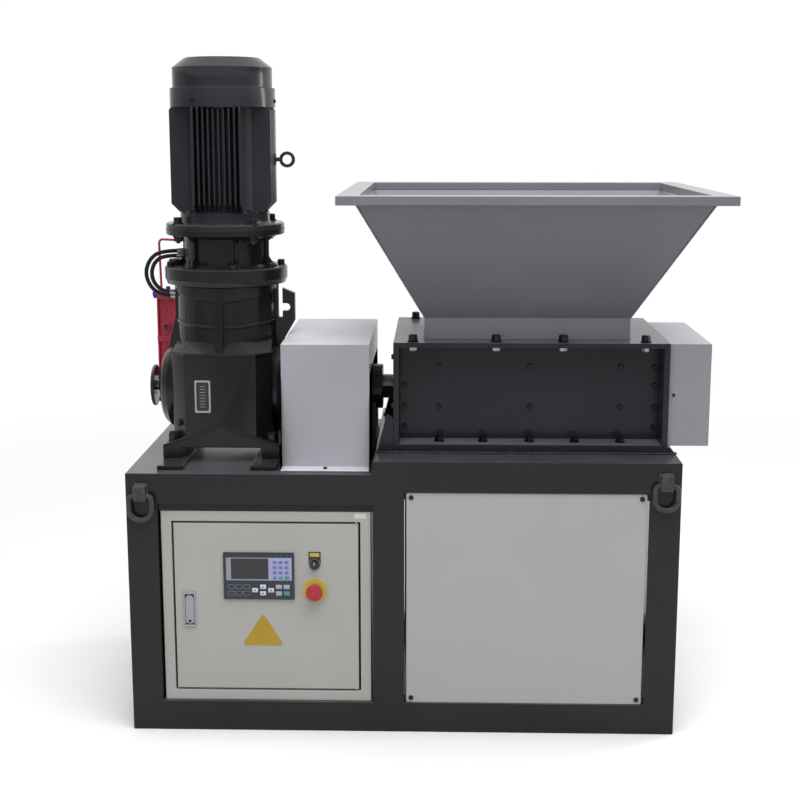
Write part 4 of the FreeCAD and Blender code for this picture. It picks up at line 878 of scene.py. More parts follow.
class Bench:
    """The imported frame, the finishes and the trees, and the ways to finish a piece with them."""

    def __init__(self, frame: Mapping[str, Any]) -> None:
        """Prepares the bench.
        """
        self.nodes = frame["nodes"]
        bodies = frame["record"]["behaviour"]["bodies"]
        self.body_of = {node: body for body, members in bodies.items() for node in members}
        self.shop = PaintShop(FINISHES)
        self.fasteners = FastenerField()
        self.rounds = RoundField()
        self.rows = RowField()
        self.fins = FinField()
        self.welds = WeldField()
        self.count = 0

    def settle(self, name: str, data: Mesh, look: str, body: str = MACHINE,
               stands_for: Sequence[str] = (), soften: float = 0.0, steps: int = 2, sharp: float = 35.0,
               clamp: bool = True) -> Piece:
        """Makes a mesh into a finished piece.

        Args:
            name: The piece's name.
            data: Its mesh, in metres.
            look: The finish on it.
            body: The body that carries it.
            stands_for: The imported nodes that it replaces.
            soften: How far its edges are rounded, in millimetres.
            steps: How many faces each rounded edge has.
            sharp: The angle past which an edge looks sharp, in degrees.
            clamp: Whether the rounding stops where edges would meet.

        Returns:
            The piece.
        """
        data.materials.clear()
        data.materials.append(self.shop.material(look))
        for face in data.polygons:
            face.use_smooth = True
            face.material_index = 0
        data.set_sharp_from_angle(angle=math.radians(sharp))
        piece = placed(name, data)
        if soften > 0.0:
            bevel = piece.modifiers.new("soft_edges", "BEVEL")
            bevel.width = soften * MM
            bevel.segments = steps
            bevel.limit_method = "ANGLE"
            bevel.angle_limit = math.radians(30.0)
            bevel.use_clamp_overlap = clamp
            bevel.harden_normals = True
        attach(piece, body)
        self.shop.slot(look)
        if stands_for:
            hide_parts(*stands_for)
        self.count += 1
        LOG.info("%3d %s, %d faces, rides on %s", self.count, name, len(data.polygons), body)
        return piece

    def make(self, name: str, shape: Shape, look: str, body: str = MACHINE, **options: Any) -> Piece:
        """Finishes a built shape. The options are those of settle."""
        return self.settle(name, shape.mesh_data(name), look, body, **options)

    def turned(self, name: str, profile: Sequence[Point], centre: Point, axis: Axis, steps: int, look: str,
               body: str = MACHINE, ring: bool = False, **options: Any) -> Piece:
        """Finishes a turned part. The rest is as in Shape.turned and settle."""
        return self.make(name, Shape().turned(profile, centre, axis, steps, ring), look, body, **options)

    def plate(self, name: str, outline: Sequence[Point], front: float, back: float, look: str,
              body: str = MACHINE, **options: Any) -> Piece:
        """Finishes a piece with an outline seen from the front. The options are those of settle."""
        return self.make(name, Shape().prism(outline, Axis.Y, front, back), look, body, **options)

    def merged(self, node: str) -> bmesh.types.BMesh:
        """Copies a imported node's mesh with its doubles merged."""
        copy = bmesh.new()
        copy.from_mesh(self.nodes[node].data)
        bmesh.ops.remove_doubles(copy, verts=copy.verts, dist=2e-6)
        return copy

    def clean_copy(self, node: str) -> Mesh:
        """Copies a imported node's mesh, merged and with its flat faces joined.

        Args:
            node: The node's name.

        Returns:
            The mesh, in metres.
        """
        copy = self.merged(node)
        bmesh.ops.dissolve_limit(copy, angle_limit=math.radians(0.4), verts=copy.verts, edges=copy.edges)
        data = bpy.data.meshes.new(node + "_soft")
        copy.to_mesh(data)
        copy.free()
        return data

    def soften(self, node: str, look: str, width: float = 1.2, steps: int = 2) -> Piece:
        """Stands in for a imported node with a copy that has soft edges."""
        return self.settle(node + "_dressed", self.clean_copy(node), look, self.body_of[node], (node,), width,
                           steps, clamp=False)

    def solids(self, node: str) -> list[Span]:
        """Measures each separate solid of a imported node.

        Args:
            node: The node's name.

        Returns:
            The box of each solid, from left to right.
        """
        copy = self.merged(node)
        left = set(copy.verts)
        spans = []
        while left:
            group, edge = [], [left.pop()]
            while edge:
                vertex = edge.pop()
                group.append(vertex.co / MM)
                linked = {link.other_vert(vertex) for link in vertex.link_edges} & left
                left -= linked
                edge += linked
            columns = list(zip(*group))
            spans.append(Span(Vector([*map(min, columns)]), Vector([*map(max, columns)])))
        copy.free()
        return sorted(spans, key=lambda span: span.low.x)

    def screw(self, name: str, spots: Sequence[Seat], kind: Fastener, look: str,
              body: str = MACHINE, seed: int = 1) -> Piece:
        """Places screws or bolts.

        Args:
            name: The name of the group.
            spots: Where each one is seated, in millimetres, and which way its head looks.
            kind: The sizes of the fastener.
            look: The finish on it.
            body: The body that carries it.
            seed: The seed of the turns of the heads.

        Returns:
            The piece.
        """
        points = bpy.data.meshes.new(name + "_spots")
        points.from_pydata([Vector(place) * MM for place, _ in spots], [], [])
        turns = points.attributes.new(FACING, "FLOAT_VECTOR", "POINT")
        for item, (_, facing) in zip(turns.data, spots):
            item.vector = facing.turn() if isinstance(facing, Facing) else tuple(facing)
        data = self.fasteners.grow(points, {
            "Sides": kind.sides, "Radius": kind.radius * MM, "Height": kind.height * MM,
            "Washer": kind.washer, "Recess": kind.recess, "Seed": seed, "Finish": self.shop.material(look)})
        return self.settle(name, data, look, body)

    def around(self, name: str, shape: Shape, count: int, centre: Point, axis: Axis, look: str,
               first: float = 0.0, **options: Any) -> Piece:
        """Repeats a shape round an axis, the first copy turned by some degrees. The options are settle's."""
        data = self.rounds.grow(shape.mesh_data(name), {
            "Count": count, "Centre": tuple(Vector(centre) * MM), "Axis": tuple(axis.spot(0.0, 0.0, 1.0)),
            "First": math.radians(first), "Finish": self.shop.material(look)})
        return self.settle(name, data, look, **options)

    def grid(self, name: str, shape: Shape, across: int, step_across: Point, down: int, step_down: Point,
             look: str, body: str = MACHINE, **options: Any) -> Piece:
        """Repeats a shape in rows and columns. The options are those of settle."""
        data = self.rows.grow(shape.mesh_data(name), {
            "Across": across, "Step Across": tuple(Vector(step_across) * MM), "Down": down,
            "Step Down": tuple(Vector(step_down) * MM), "Finish": self.shop.material(look)})
        return self.settle(name, data, look, body, **options)

    def weld(self, name: str, lines: Sequence[Sequence[Point]], width: float, look: str,
             seed: int = 1) -> Piece:
        """Lays weld beads.

        Args:
            name: The piece's name.
            lines: The lines that the beads follow, in millimetres.
            width: The width of a bead.
            look: The paint over it.
            seed: The seed of its ripples.

        Returns:
            The piece.
        """
        points, edges = [], []
        for line in lines:
            start = len(points)
            points += [Vector(point) * MM for point in line]
            edges += [(start + spot, start + spot + 1) for spot in range(len(line) - 1)]
        paths = bpy.data.meshes.new(name + "_lines")
        paths.from_pydata(points, edges, [])
        data = self.welds.grow(paths, {"Spacing": width * 0.5 * MM, "Width": width * MM, "Seed": seed,
                                       "Finish": self.shop.material(look)})
        return self.settle(name, data, look, sharp=80.0)


# Frame
@dataclass
class WeldedFrame:
    """Square-tube frame with its decks, ground flush, and the lifting points on it."""

    bench: Bench
    edge: float = 2.2
    bracket_edge: float = 2.6
    seam: float = 5.0

    def build(self) -> None:
        """Builds and dresses the frame."""
        members = ("posts", "bottom_rails", "top_rails", "drive_deck", "chamber_deck")
        self.bench.settle("welded_frame", self.joined(members), "frame_paint", stands_for=members,
                          soften=self.edge, steps=3, clamp=False)
        self.bench.soften("lifting_brackets", "forged_paint", self.bracket_edge, 3)
        self.bench.soften("panel_tabs", "frame_paint", 0.8, 1)
        self.seams()

    def joined(self, members: Sequence[str]) -> Mesh:
        """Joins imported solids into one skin.

        Args:
            members: The nodes that are welded together.

        Returns:
            The skin.
        """
        blocks = []
        for node in members:
            block = placed(node + "_block", self.bench.clean_copy(node))
            blocks.append(block)
        first, *others = blocks
        for block in others:
            union = first.modifiers.new("union", "BOOLEAN")
            union.operation = "UNION"
            union.solver = "EXACT"
            union.use_self = True
            union.object = block
        made = evaluated(first)
        for block in others:
            bpy.data.objects.remove(block)
        skin = bmesh.new()
        skin.from_mesh(made)
        bmesh.ops.remove_doubles(skin, verts=skin.verts, dist=1e-5)
        bmesh.ops.dissolve_limit(skin, angle_limit=math.radians(0.5), verts=skin.verts, edges=skin.edges)
        skin.to_mesh(made)
        skin.free()
        return made

    def seams(self) -> None:
        """Lays the welds between the brackets and the posts."""
        lines = []
        for span in self.bench.solids("lifting_brackets"):
            front = span.high.y
            corners = [(span.low.x, span.low.z), (span.low.x, span.high.z), (span.high.x, span.high.z),
                       (span.high.x, span.low.z), (span.low.x, span.low.z)]
            lines.append([(x, front - 0.5, z) for x, z in corners])
        self.bench.weld("bracket_welds", lines, self.seam, "forged_paint", 3)


@dataclass
class SheetPanels:
    """The screwed-on panels of the bays."""

    bench: Bench
    corner: float = 4.0
    edge: float = 0.8
    inset: float = 11.5
    screw: Fastener = Fastener(radius=6.0, height=2.8, sides=24, washer=False, recess=True)

    def build(self) -> None:
        """Builds every panel and its screws."""
        self.panel("front_panel", -1.0)
        self.panel("side_panels", 1.0)

    def panel(self, node: str, outwards: float) -> None:
        """Builds the panels of one node.

        Args:
            node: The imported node.
            outwards: Which way a panel across the depth looks: -1 for the front and 1 for the back.
        """
        shape = Shape()
        spots: list[Seat] = []
        for span in self.bench.solids(node):
            low, high = span.low, span.high
            if span.size.x < span.size.y:
                axis, cross, sides, near = Axis.X, 1, (Facing.LEFT, Facing.RIGHT), span.middle.x < 0.0
            else:
                axis, cross, sides, near = Axis.Y, 0, (Facing.FRONT, Facing.BACK), outwards < 0.0
            along = axis.value
            shape.prism(rounded(low[cross], low.z, high[cross], high.z, self.corner), axis, low[along],
                        high[along])
            face, facing = (low[along], sides[0]) if near else (high[along], sides[1])
            spots += [(axis.spot(place, z, face), facing)
                      for place in (low[cross] + self.inset, high[cross] - self.inset)
                      for z in (low.z + self.inset, high.z - self.inset)]
        self.bench.make(node + "_sheet", shape, "panel_grey", stands_for=(node,), soften=self.edge)
        self.bench.screw(node + "_screws", spots, self.screw, "black_steel")


# Cabinet
@dataclass
class Cabinet:
    """Control cabinet: its box, the door with everything on it and what is inside."""

    bench: Bench
    face: float = -325.0
    plate: float = -327.0
    column: float = -253.5
    selector: float = 422.0
    stop: float = 357.0
    head_back: float = -342.0
    door: str = "door"

    def build(self) -> None:
        """Builds the cabinet."""
        self.bench.soften("cabinet_box", "cabinet_grey", 1.6, 3)
        self.bench.soften("cabinet_door", "cabinet_grey", 1.6, 3)
        self.bench.soften("cabinet_top_bar", "frame_paint", 1.5)
        self.bench.soften("backing_plate", "zinc_steel", 0.6)
        self.label()
        self.latch()
        self.switches()
        self.knob()
        self.mushroom()

    def label(self) -> None:
        """Adds the blank label, the plain triangle and the small screw."""
        self.bench.plate("blank_label", rounded(-157.5, 537.0, -129.0, 548.0, 1.0), self.face - 0.4,
                         self.face, "white_label")
        corners = [Vector(corner) for corner in ((-380.5, 297.0), (-432.0, 217.0), (-331.0, 217.0))]
        radius = 5.0
        outline = []
        for spot, here in enumerate(corners):
            before, after = corners[spot - 1] - here, corners[(spot + 1) % 3] - here
            into = (before.normalized() + after.normalized()).normalized()
            half = before.angle(after) / 2
            centre = here + into * radius / math.sin(half)
            spread = math.pi / 2 - half
            first = math.atan2(-into.y, -into.x) - spread
            outline += arc(centre.x, centre.y, radius, first, 2 * spread, 6)
        self.bench.plate("yellow_plate", outline, self.face - 0.9, self.face, "plate_yellow", self.door,
                         soften=0.3)
        self.bench.screw("door_screw", [((-378.0, self.face, 508.5), Facing.FRONT)],
                         Fastener(3.2, 1.4, 24, False, True), "cabinet_grey", self.door)

    def latch(self) -> None:
        """Builds the flush latch: a plate with a well, and its lever."""
        plate, lever = Span.of("latch_housing"), Span.of("latch_lever")
        self.bench.soften("latch_housing", "latch_grey", 0.9, 2)
        middle, front = lever.middle.x, lever.low.y
        half = lever.size.x / 2 - 0.3
        low, high = lever.low.z + half, lever.high.z - half
        outline = arc(middle, high, half, 0.0, math.pi, 12) + arc(middle, low, half, math.pi, math.pi, 12)
        bar = Shape().prism(outline, Axis.Y, front + 0.4, lever.high.y - 3.4)
        bar.prism(rounded(middle - half + 4.2, low - 1.0, middle + half - 4.2, high + 1.0, 4.0), Axis.Y,
                  front, front + 0.5)
        self.bench.make("latch_lever_bar", bar, "latch_grey", "latch", stands_for=("latch_lever",),
                        soften=1.2, steps=3)
        self.bench.turned("latch_keyhole", [(0.0, 0.0), (3.6, 0.0), (3.6, 0.5), (0.0, 0.5)],
                          (middle, front - 0.2, low - 3.0), Axis.Y, 20, "black_steel", "latch")
        rivets = [((plate.middle.x, plate.low.y, z), Facing.FRONT)
                  for z in (plate.low.z + 3.2, plate.high.z - 3.2)]
        self.bench.screw("latch_rivets", rivets, Fastener(1.7, 0.7, 16, False), "zinc_steel", self.door)

    def switches(self) -> None:
        """Builds the plate of the selector and the ring and collar of the stop button."""
        x, top, half = self.column, 453.0, 14.5
        outline = [(x + half, top), (x - half, top)] + arc(x, self.selector + 1.6, half, math.pi, math.pi, 16)
        nodes = ("switch_plates",)
        self.bench.plate("selector_plate", outline, self.plate, self.face, "black_plastic", self.door,
                         stands_for=nodes, soften=0.5)
        self.bench.plate("selector_label", rounded(x - 11.5, 441.5, x + 11.5, 450.5, 0.8), self.plate - 0.5,
                         self.plate + 0.1, "yellow_plastic", self.door)
        bezel = [(12.9, 0.0), (14.1, 0.0), (14.1, -1.2), (13.4, -2.0), (12.9, -2.0)]
        self.bench.turned("selector_bezel", bezel, (x, self.plate, self.selector), Axis.Y, 48, "zinc_steel",
                          self.door, ring=True)
        place = (x, self.plate, self.stop)
        ring = [(11.0, 0.0), (29.0, 0.0), (30.0, 0.6), (30.0, 2.0), (11.0, 2.0)]
        self.bench.turned("stop_ring", ring, place, Axis.Y, 64, "yellow_plastic", self.door, ring=True,
                          stands_for=nodes, sharp=30.0)
        collar = [(9.3, -9.0), (14.2, -9.0), (15.0, -8.2), (15.0, 17.0), (9.3, 17.0)]
        self.bench.turned("stop_collar", collar, place, Axis.Y, 48, "black_plastic", self.door, ring=True,
                          stands_for=nodes, sharp=30.0)

    def knob(self) -> None:
        """Builds the selector's knob with its white pointer."""
        span = Span.of("selector_knob")
        back, front = span.high.y, span.low.y
        x, z = self.column, self.selector
        drum = Shape().turned([(0.0, back), (12.2, back), (12.2, back - 5.6), (11.4, back - 6.6),
                               (0.0, back - 6.6)],
                              (x, 0.0, z), Axis.Y, 48)
        sides = ((-1, -0.86), (-0.5, -1), (0.5, -1), (1, -0.86), (1, 0.86), (0.5, 1), (-0.5, 1), (-1, 0.86))
        drum.skin([[Vector((x + a * (3.9 - lean), y, z + b * (11.2 - 2.0 * lean))) for a, b in sides]
                   for y, lean in ((back - 3.0, 0.0), (front + 1.0, 0.45), (front, 1.1))])
        self.bench.make("selector_drum", drum, "black_plastic", "selector", stands_for=("selector_knob",),
                        soften=0.35)
        self.bench.plate("selector_pointer", rounded(x - 0.9, z + 1.5, x + 0.9, z + 9.0, 0.8), front - 0.15,
                         front + 0.3, "white_label", "selector")

    def mushroom(self) -> None:
        """Builds the red mushroom button."""
        span = Span.of("estop_button")
        front, stem, back = span.low.y, span.high.y, self.head_back
        place = (self.column, 0.0, self.stop)
        head = [(0.0, stem), (7.0, stem), (7.0, back + 0.2), (15.5, back), (19.2, back - 1.0),
                (20.0, back - 3.2),
                (20.0, back - 7.0), (19.3, back - 9.6), (17.4, back - 11.8), (14.0, front + 1.6),
                (10.6, front + 0.7), (9.8, front + 1.2), (9.0, front + 0.6), (5.0, front + 0.15),
                (0.0, front)]
        self.bench.turned("stop_mushroom", head, place, Axis.Y, 64, "red_plastic", "estop",
                          stands_for=("estop_button",), sharp=50.0)
        skirt = [(7.2, back + 0.6), (14.6, back + 0.6), (15.2, back - 0.1), (7.2, back - 0.4)]
        self.bench.turned("stop_skirt", skirt, place, Axis.Y, 48, "black_plastic", "estop", ring=True)


@dataclass
class OperatorPanel:
    """The control terminal on the door: bezel, display, number keys, arrows and function keys."""

    bench: Bench
    face: float = -330.3
    key_rise: float = 0.9
    number_rise: float = 0.7
    key_width: float = 14.4
    key_height: float = 10.6
    body: str = "door"

    def build(self) -> None:
        """Builds the terminal."""
        span = Span.of("operator_panel")
        low, high = span.low, span.high
        self.bench.plate("terminal_case", rounded(low.x, low.z, high.x, high.z, 2.5), self.face, high.y,
                         "panel_plastic", self.body, stands_for=("operator_panel",), soften=0.9, steps=3)
        for name, outline, look, rise in (
                ("display_frame", rounded(-467.0, 382.0, -308.5, 438.8, 1.5), "silver_film", 0.5),
                ("number_field", rounded(-364.0, 382.6, -309.4, 438.2, 1.0), "lavender_film", 0.7),
                ("display_glass", rounded(-455.0, 385.6, -365.0, 436.8, 1.0), "display", 0.9)):
            self.bench.plate(name, outline, self.face - rise, self.face + 0.2, look, self.body, soften=0.15)
        self.numbers()
        self.arrows()
        self.commands()

    def key(self, x: float, z: float, width: float, height: float, rise: float = 0.0,
            onto: Shape | None = None) -> Shape:
        """Shapes one key cap.

        Args:
            x: Its middle.
            z: Its height on the door.
            width: Its width.
            height: Its height.
            rise: How much prouder than the case's own keys it stands.
            onto: The shape that it is added to, if not a new one.

        Returns:
            The shape.
        """
        face = self.face - rise
        rings = []
        for y, lean in ((face + 0.2, 0.0), (face - self.key_rise * 0.6, 0.0), (face - self.key_rise, 0.5)):
            across, up = width / 2 - lean, height / 2 - lean
            outline = rounded(x - across, z - up, x + across, z + up, 1.2, 3)
            rings.append([Vector((a, y, b)) for a, b in outline])
        return (onto or Shape()).skin(rings)

    def digit(self, text: str, x: float, z: float) -> Mesh:
        """Makes one digit as a mesh.

        Args:
            text: The digit.
            x: Its middle.
            z: Its middle height.

        Returns:
            The mesh, in metres.
        """
        letters = bpy.data.curves.new("digit", "FONT")
        letters.body = text
        letters.size = 6.44 * MM
        letters.align_x = letters.align_y = "CENTER"
        letters.extrude = 0.06 * MM
        letters.resolution_u = 2
        carrier = placed("digit", letters)
        data = evaluated(carrier)
        data.transform(Matrix.Rotation(math.pi / 2, 4, "X"))
        data.transform(Matrix.Translation(Vector((x, self.face - self.number_rise - self.key_rise, z)) * MM))
        return data

    def numbers(self) -> None:
        """Adds the number keys with their digits."""
        left, top, step_x, step_z = -349.5, 428.0, 14.2, 13.0
        for name, z, columns, rows in (("number_keys", top, 3, 3),
                                       ("lower_number_keys", top - 3 * step_z, 2, 1)):
            self.bench.grid(name, self.key(left, z, 9.6, 7.6, self.number_rise), columns,
                            (step_x, 0.0, 0.0), rows, (0.0, 0.0, -step_z), "number_key", self.body)
        enter = self.key(left + 2 * step_x + 0.6, top - 3 * step_z, 11.4, 9.0, self.number_rise)
        self.bench.make("green_enter_key", enter, "green_key", self.body)
        digits = bmesh.new()
        for spot, text in enumerate("7894561230"):
            digits.from_mesh(self.digit(text, left + spot % 3 * step_x, top - spot // 3 * step_z))
        bmesh.ops.remove_doubles(digits, verts=digits.verts, dist=1e-7)
        data = bpy.data.meshes.new("key_digits")
        digits.to_mesh(data)
        digits.free()
        self.bench.settle("key_digits", data, "panel_plastic", self.body)

    def arrows(self) -> None:
        """Adds the four white keys with their arrowheads."""
        heads, keys = Shape(), Shape()
        face = self.face - self.key_rise
        for x, z, turn in ((-398.0, 357.6, 180.0), (-378.5, 366.2, 90.0), (-378.5, 349.6, -90.0),
                           (-359.0, 357.6, 0.0)):
            self.key(x, z, 14.0, self.key_height, onto=keys)
            heads.prism(disc_outline(x, z, 2.9, 3, math.radians(turn)), Axis.Y, face - 0.12, face + 0.1)
        self.bench.make("arrow_keys", keys, "white_key", self.body)
        self.bench.make("arrow_heads", heads, "panel_plastic", self.body)

    def commands(self) -> None:
        """Adds the plain command keys, the function keys and the three small lamps."""
        left, right, top, low, face = -340.2, -321.4, 366.2, 349.6, self.face
        step = (right - left, 0.0, 0.0)
        size = (self.key_width, self.key_height)
        self.bench.grid("pale_keys", self.key(left, top, *size), 2, step, 1, (0.0, 0.0, -1.0), "pale_key",
                        self.body)
        self.bench.make("pale_low_key", self.key(left, low, *size), "pale_key", self.body)
        self.bench.make("green_start_key", self.key(right, low, *size), "green_key", self.body)
        outer = rounded(-463.4, 361.0, -448.0, 371.4, 2.2, 3)
        inner = rounded(-462.7, 361.7, -448.7, 370.7, 1.6, 3)
        rim = Shape().skin([[Vector((a, y, b)) for a, b in outline] for outline, y in (
            (outer, face + 0.1), (outer, face - 0.25), (inner, face - 0.25), (inner, face + 0.1))],
                           looped=True)
        for name, shape, look in (("function_key_rims", rim, "silver_film"),
                                  ("function_keys", self.key(-455.7, top, 13.4, 8.4), "panel_plastic")):
            self.bench.grid(name, shape, 3, step, 2, (0.0, 0.0, low - top), look, self.body)
        lamp = Shape().turned([(0.0, 0.1), (1.1, 0.1), (1.1, -0.3), (0.6, -0.5), (0.0, -0.55)],
                              (-346.0, face, 444.6), Axis.Y, 16)
        self.bench.grid("status_lamps", lamp, 3, (12.5, 0.0, 0.0), 1, (0.0, 0.0, -1.0), "green_key",
                        self.body)


# Geared motor
@dataclass
class Gearbox:
    """Cast gearbox on its feet, with round side covers, ribs, plugs and a blank plate."""

    bench: Bench
    x: float = -489.0
    y: float = -65.0
    body_top: float = 914.0
    shoulder_top: float = 985.0
    barrel_top: float = 1073.0
    barrel: float = 122.0
    front: float = -214.0

    def build(self) -> None:
        """Builds the gearbox."""
        self.bench.soften("gearbox_housing", "drive_paint", 2.4, 3)
        self.bench.soften("mounting_pads", "drive_paint", 1.4)
        self.bench.soften("lifting_lug", "drive_paint", 1.4)
        self.ribs()
        self.belts()
        self.side_covers()
        self.foot_bolts()
        self.plate()

    def ribs(self) -> None:
        """Adds the upright ribs on the barrel and the raised lips of the gables."""
        reach, inner = self.barrel + 8.0, self.barrel - 12.0
        low, top = self.body_top - 2.0, self.barrel_top + 0.5
        profile = [(-self.front + self.y + 0.5, low), (reach, self.shoulder_top + 6.0), (reach, top),
                   (inner, top), (inner, low)]
        rib = Shape().prism([(self.y - out, z) for out, z in profile], Axis.X, self.x - 8.5, self.x + 8.5)
        self.bench.around("barrel_ribs", rib, 4, (self.x, self.y, 0.0), Axis.Z, "drive_paint", soften=2.0,
                          clamp=False)
        lips = Shape()
        for start, end in ((self.x - 15.0, self.x - 143.0), (self.x + 15.0, self.x + 143.0)):
            for front, back in ((-156.0, -148.0), (148.0, 152.0)):
                lips.prism([(start, 732.0), (end, 691.5), (end, 686.5), (start, 727.0)], Axis.Y,
                           self.y + front, self.y + back)
        self.bench.make("gable_lips", lips, "drive_paint", soften=1.6, clamp=False)

    def belts(self) -> None:
        """Adds the barrel's collar and lower lip, which sag at the front and back, and the body's ledge."""
        inner = self.barrel - 8.0
        bands = Shape()
        for low, high, out, sag in ((1058.0, 1073.0, 5.5, 21.0), (979.0, 987.0, 3.0, 7.0)):
            rings = []
            for step in range(96):
                turn = 2 * math.pi * step / 96
                dip = sag * math.sin(turn) ** 2
                top = high if sag > 10.0 else high - dip
                profile = ((inner, low - dip), (self.barrel + out * 0.5, low - dip),
                           (self.barrel + out, low - dip + 2.0), (self.barrel + out, top - 1.5),
                           (self.barrel + out * 0.5, top), (inner, top))
                rings.append([Vector((self.x + radius * math.cos(turn), self.y + radius * math.sin(turn), z))
                              for radius, z in profile])
            bands.skin(rings, looped=True)
        self.bench.make("barrel_bands", bands, "drive_paint", sharp=30.0)
        wide, deep, cut = 124.0, 151.0, 36.5
        corners = [(a * wide, b * (deep - cut)) if flat else (a * (wide - cut), b * deep)
                   for a, b, flat in ((1, -1, 1), (1, 1, 1), (1, 1, 0), (-1, 1, 0), (-1, 1, 1), (-1, -1, 1),
                                      (-1, -1, 0), (1, -1, 0))]
        ledge = Shape().prism([(self.x + a, self.y + b) for a, b in corners], Axis.Z, self.body_top - 5.0,
                              self.body_top + 1.5)
        self.bench.make("body_ledge", ledge, "drive_paint", soften=2.0, steps=3)

    def side_covers(self) -> None:
        """Turns the two round covers and sets their bolts."""
        spans = self.bench.solids("gearbox_side_covers")
        covers = Shape()
        spots: list[Seat] = []
        slope = ((0.0, 0.34), (1.2, 0.38), (3.5, 0.41), (7.0, 0.52), (14.0, 0.64), (24.0, 0.73), (36.0, 0.79),
                 (52.0, 0.83))
        boss = ((13.0, 0.85), (8.5, 0.86), (8.0, 0.97), (6.5, 1.0), (0.0, 1.0))
        for span, side, bore, facing in ((spans[0], -1.0, 13.0, Facing.LEFT),
                                         (spans[-1], 1.0, 29.0, Facing.RIGHT)):
            inner = span.high.x if side < 0 else span.low.x
            radius, reach = span.size.y / 2, span.size.x
            profile = [(bore, 0.0), (radius, 0.0)] + [(radius - less, reach * share) for less, share in slope]
            profile += [(bore + more, reach * share) for more, share in boss]
            covers.turned([(out, inner + side * along) for out, along in profile],
                          (0.0, span.middle.y, span.middle.z), Axis.X, 96, ring=True)
            circle = disc_outline(span.middle.y, span.middle.z, radius - 47.0, 6, math.radians(30.0))
            spots += [((inner + side * reach * 0.80, y, z), facing) for y, z in circle]
        self.bench.make("round_covers", covers, "drive_paint", stands_for=("gearbox_side_covers",),
                        sharp=32.0)
        self.bench.screw("cover_bolts", spots, Fastener(6.2, 5.0, 6, False), "drive_paint", seed=5)

    def foot_bolts(self) -> None:
        """Sets the bolts of the feet and the oil plugs."""
        spots = [((self.x + a * 121.0, self.y + b, 690.0), Facing.UP)
                 for a in (-1.0, 1.0) for b in (-126.0, 126.0)]
        self.bench.screw("foot_bolts", spots, Fastener(15.0, 24.0), "drive_paint", seed=7)
        plugs = [((self.x - 104.0, self.y - 131.0, 742.0), Euler((math.pi / 2, 0.0, -math.pi / 4))),
                 ((self.x - 60.0, -self.front + 2 * self.y - 0.5, 760.0), Facing.BACK),
                 ((self.x + 60.0, -self.front + 2 * self.y - 0.5, 880.0), Facing.BACK)]
        self.bench.screw("oil_plugs", plugs, Fastener(8.5, 6.0), "drive_paint", seed=9)

    def plate(self) -> None:
        """Adds the blank riveted plate."""
        left, right, low, high, face = -551.5, -513.0, 770.0, 850.0, self.front
        self.bench.plate("blank_plate_rim", rounded(left, low, right, high, 2.0), face - 1.0, face + 0.4,
                         "zinc_steel", soften=0.3)
        self.bench.plate("blank_plate_field", rounded(left + 4.0, low + 4.5, right - 4.0, high - 4.5, 5.0),
                         face - 1.3, face - 0.9, "black_plastic", soften=0.2)
        rule = Shape().box((left + 12.5, face - 1.5, low + 14.0), (right - 12.5, face - 1.2, low + 15.2))
        self.bench.grid("blank_plate_rules", rule, 1, (1.0, 0.0, 0.0), 8, (0.0, 0.0, 7.2), "silver_film")
        rivets = [((x, face - 1.0, z), Facing.FRONT) for x in (left + 2.4, right - 2.4)
                  for z in (low + 2.6, high - 2.6)]
        self.bench.screw("plate_rivets", rivets, Fastener(1.5, 0.9, 12, False), "zinc_steel")


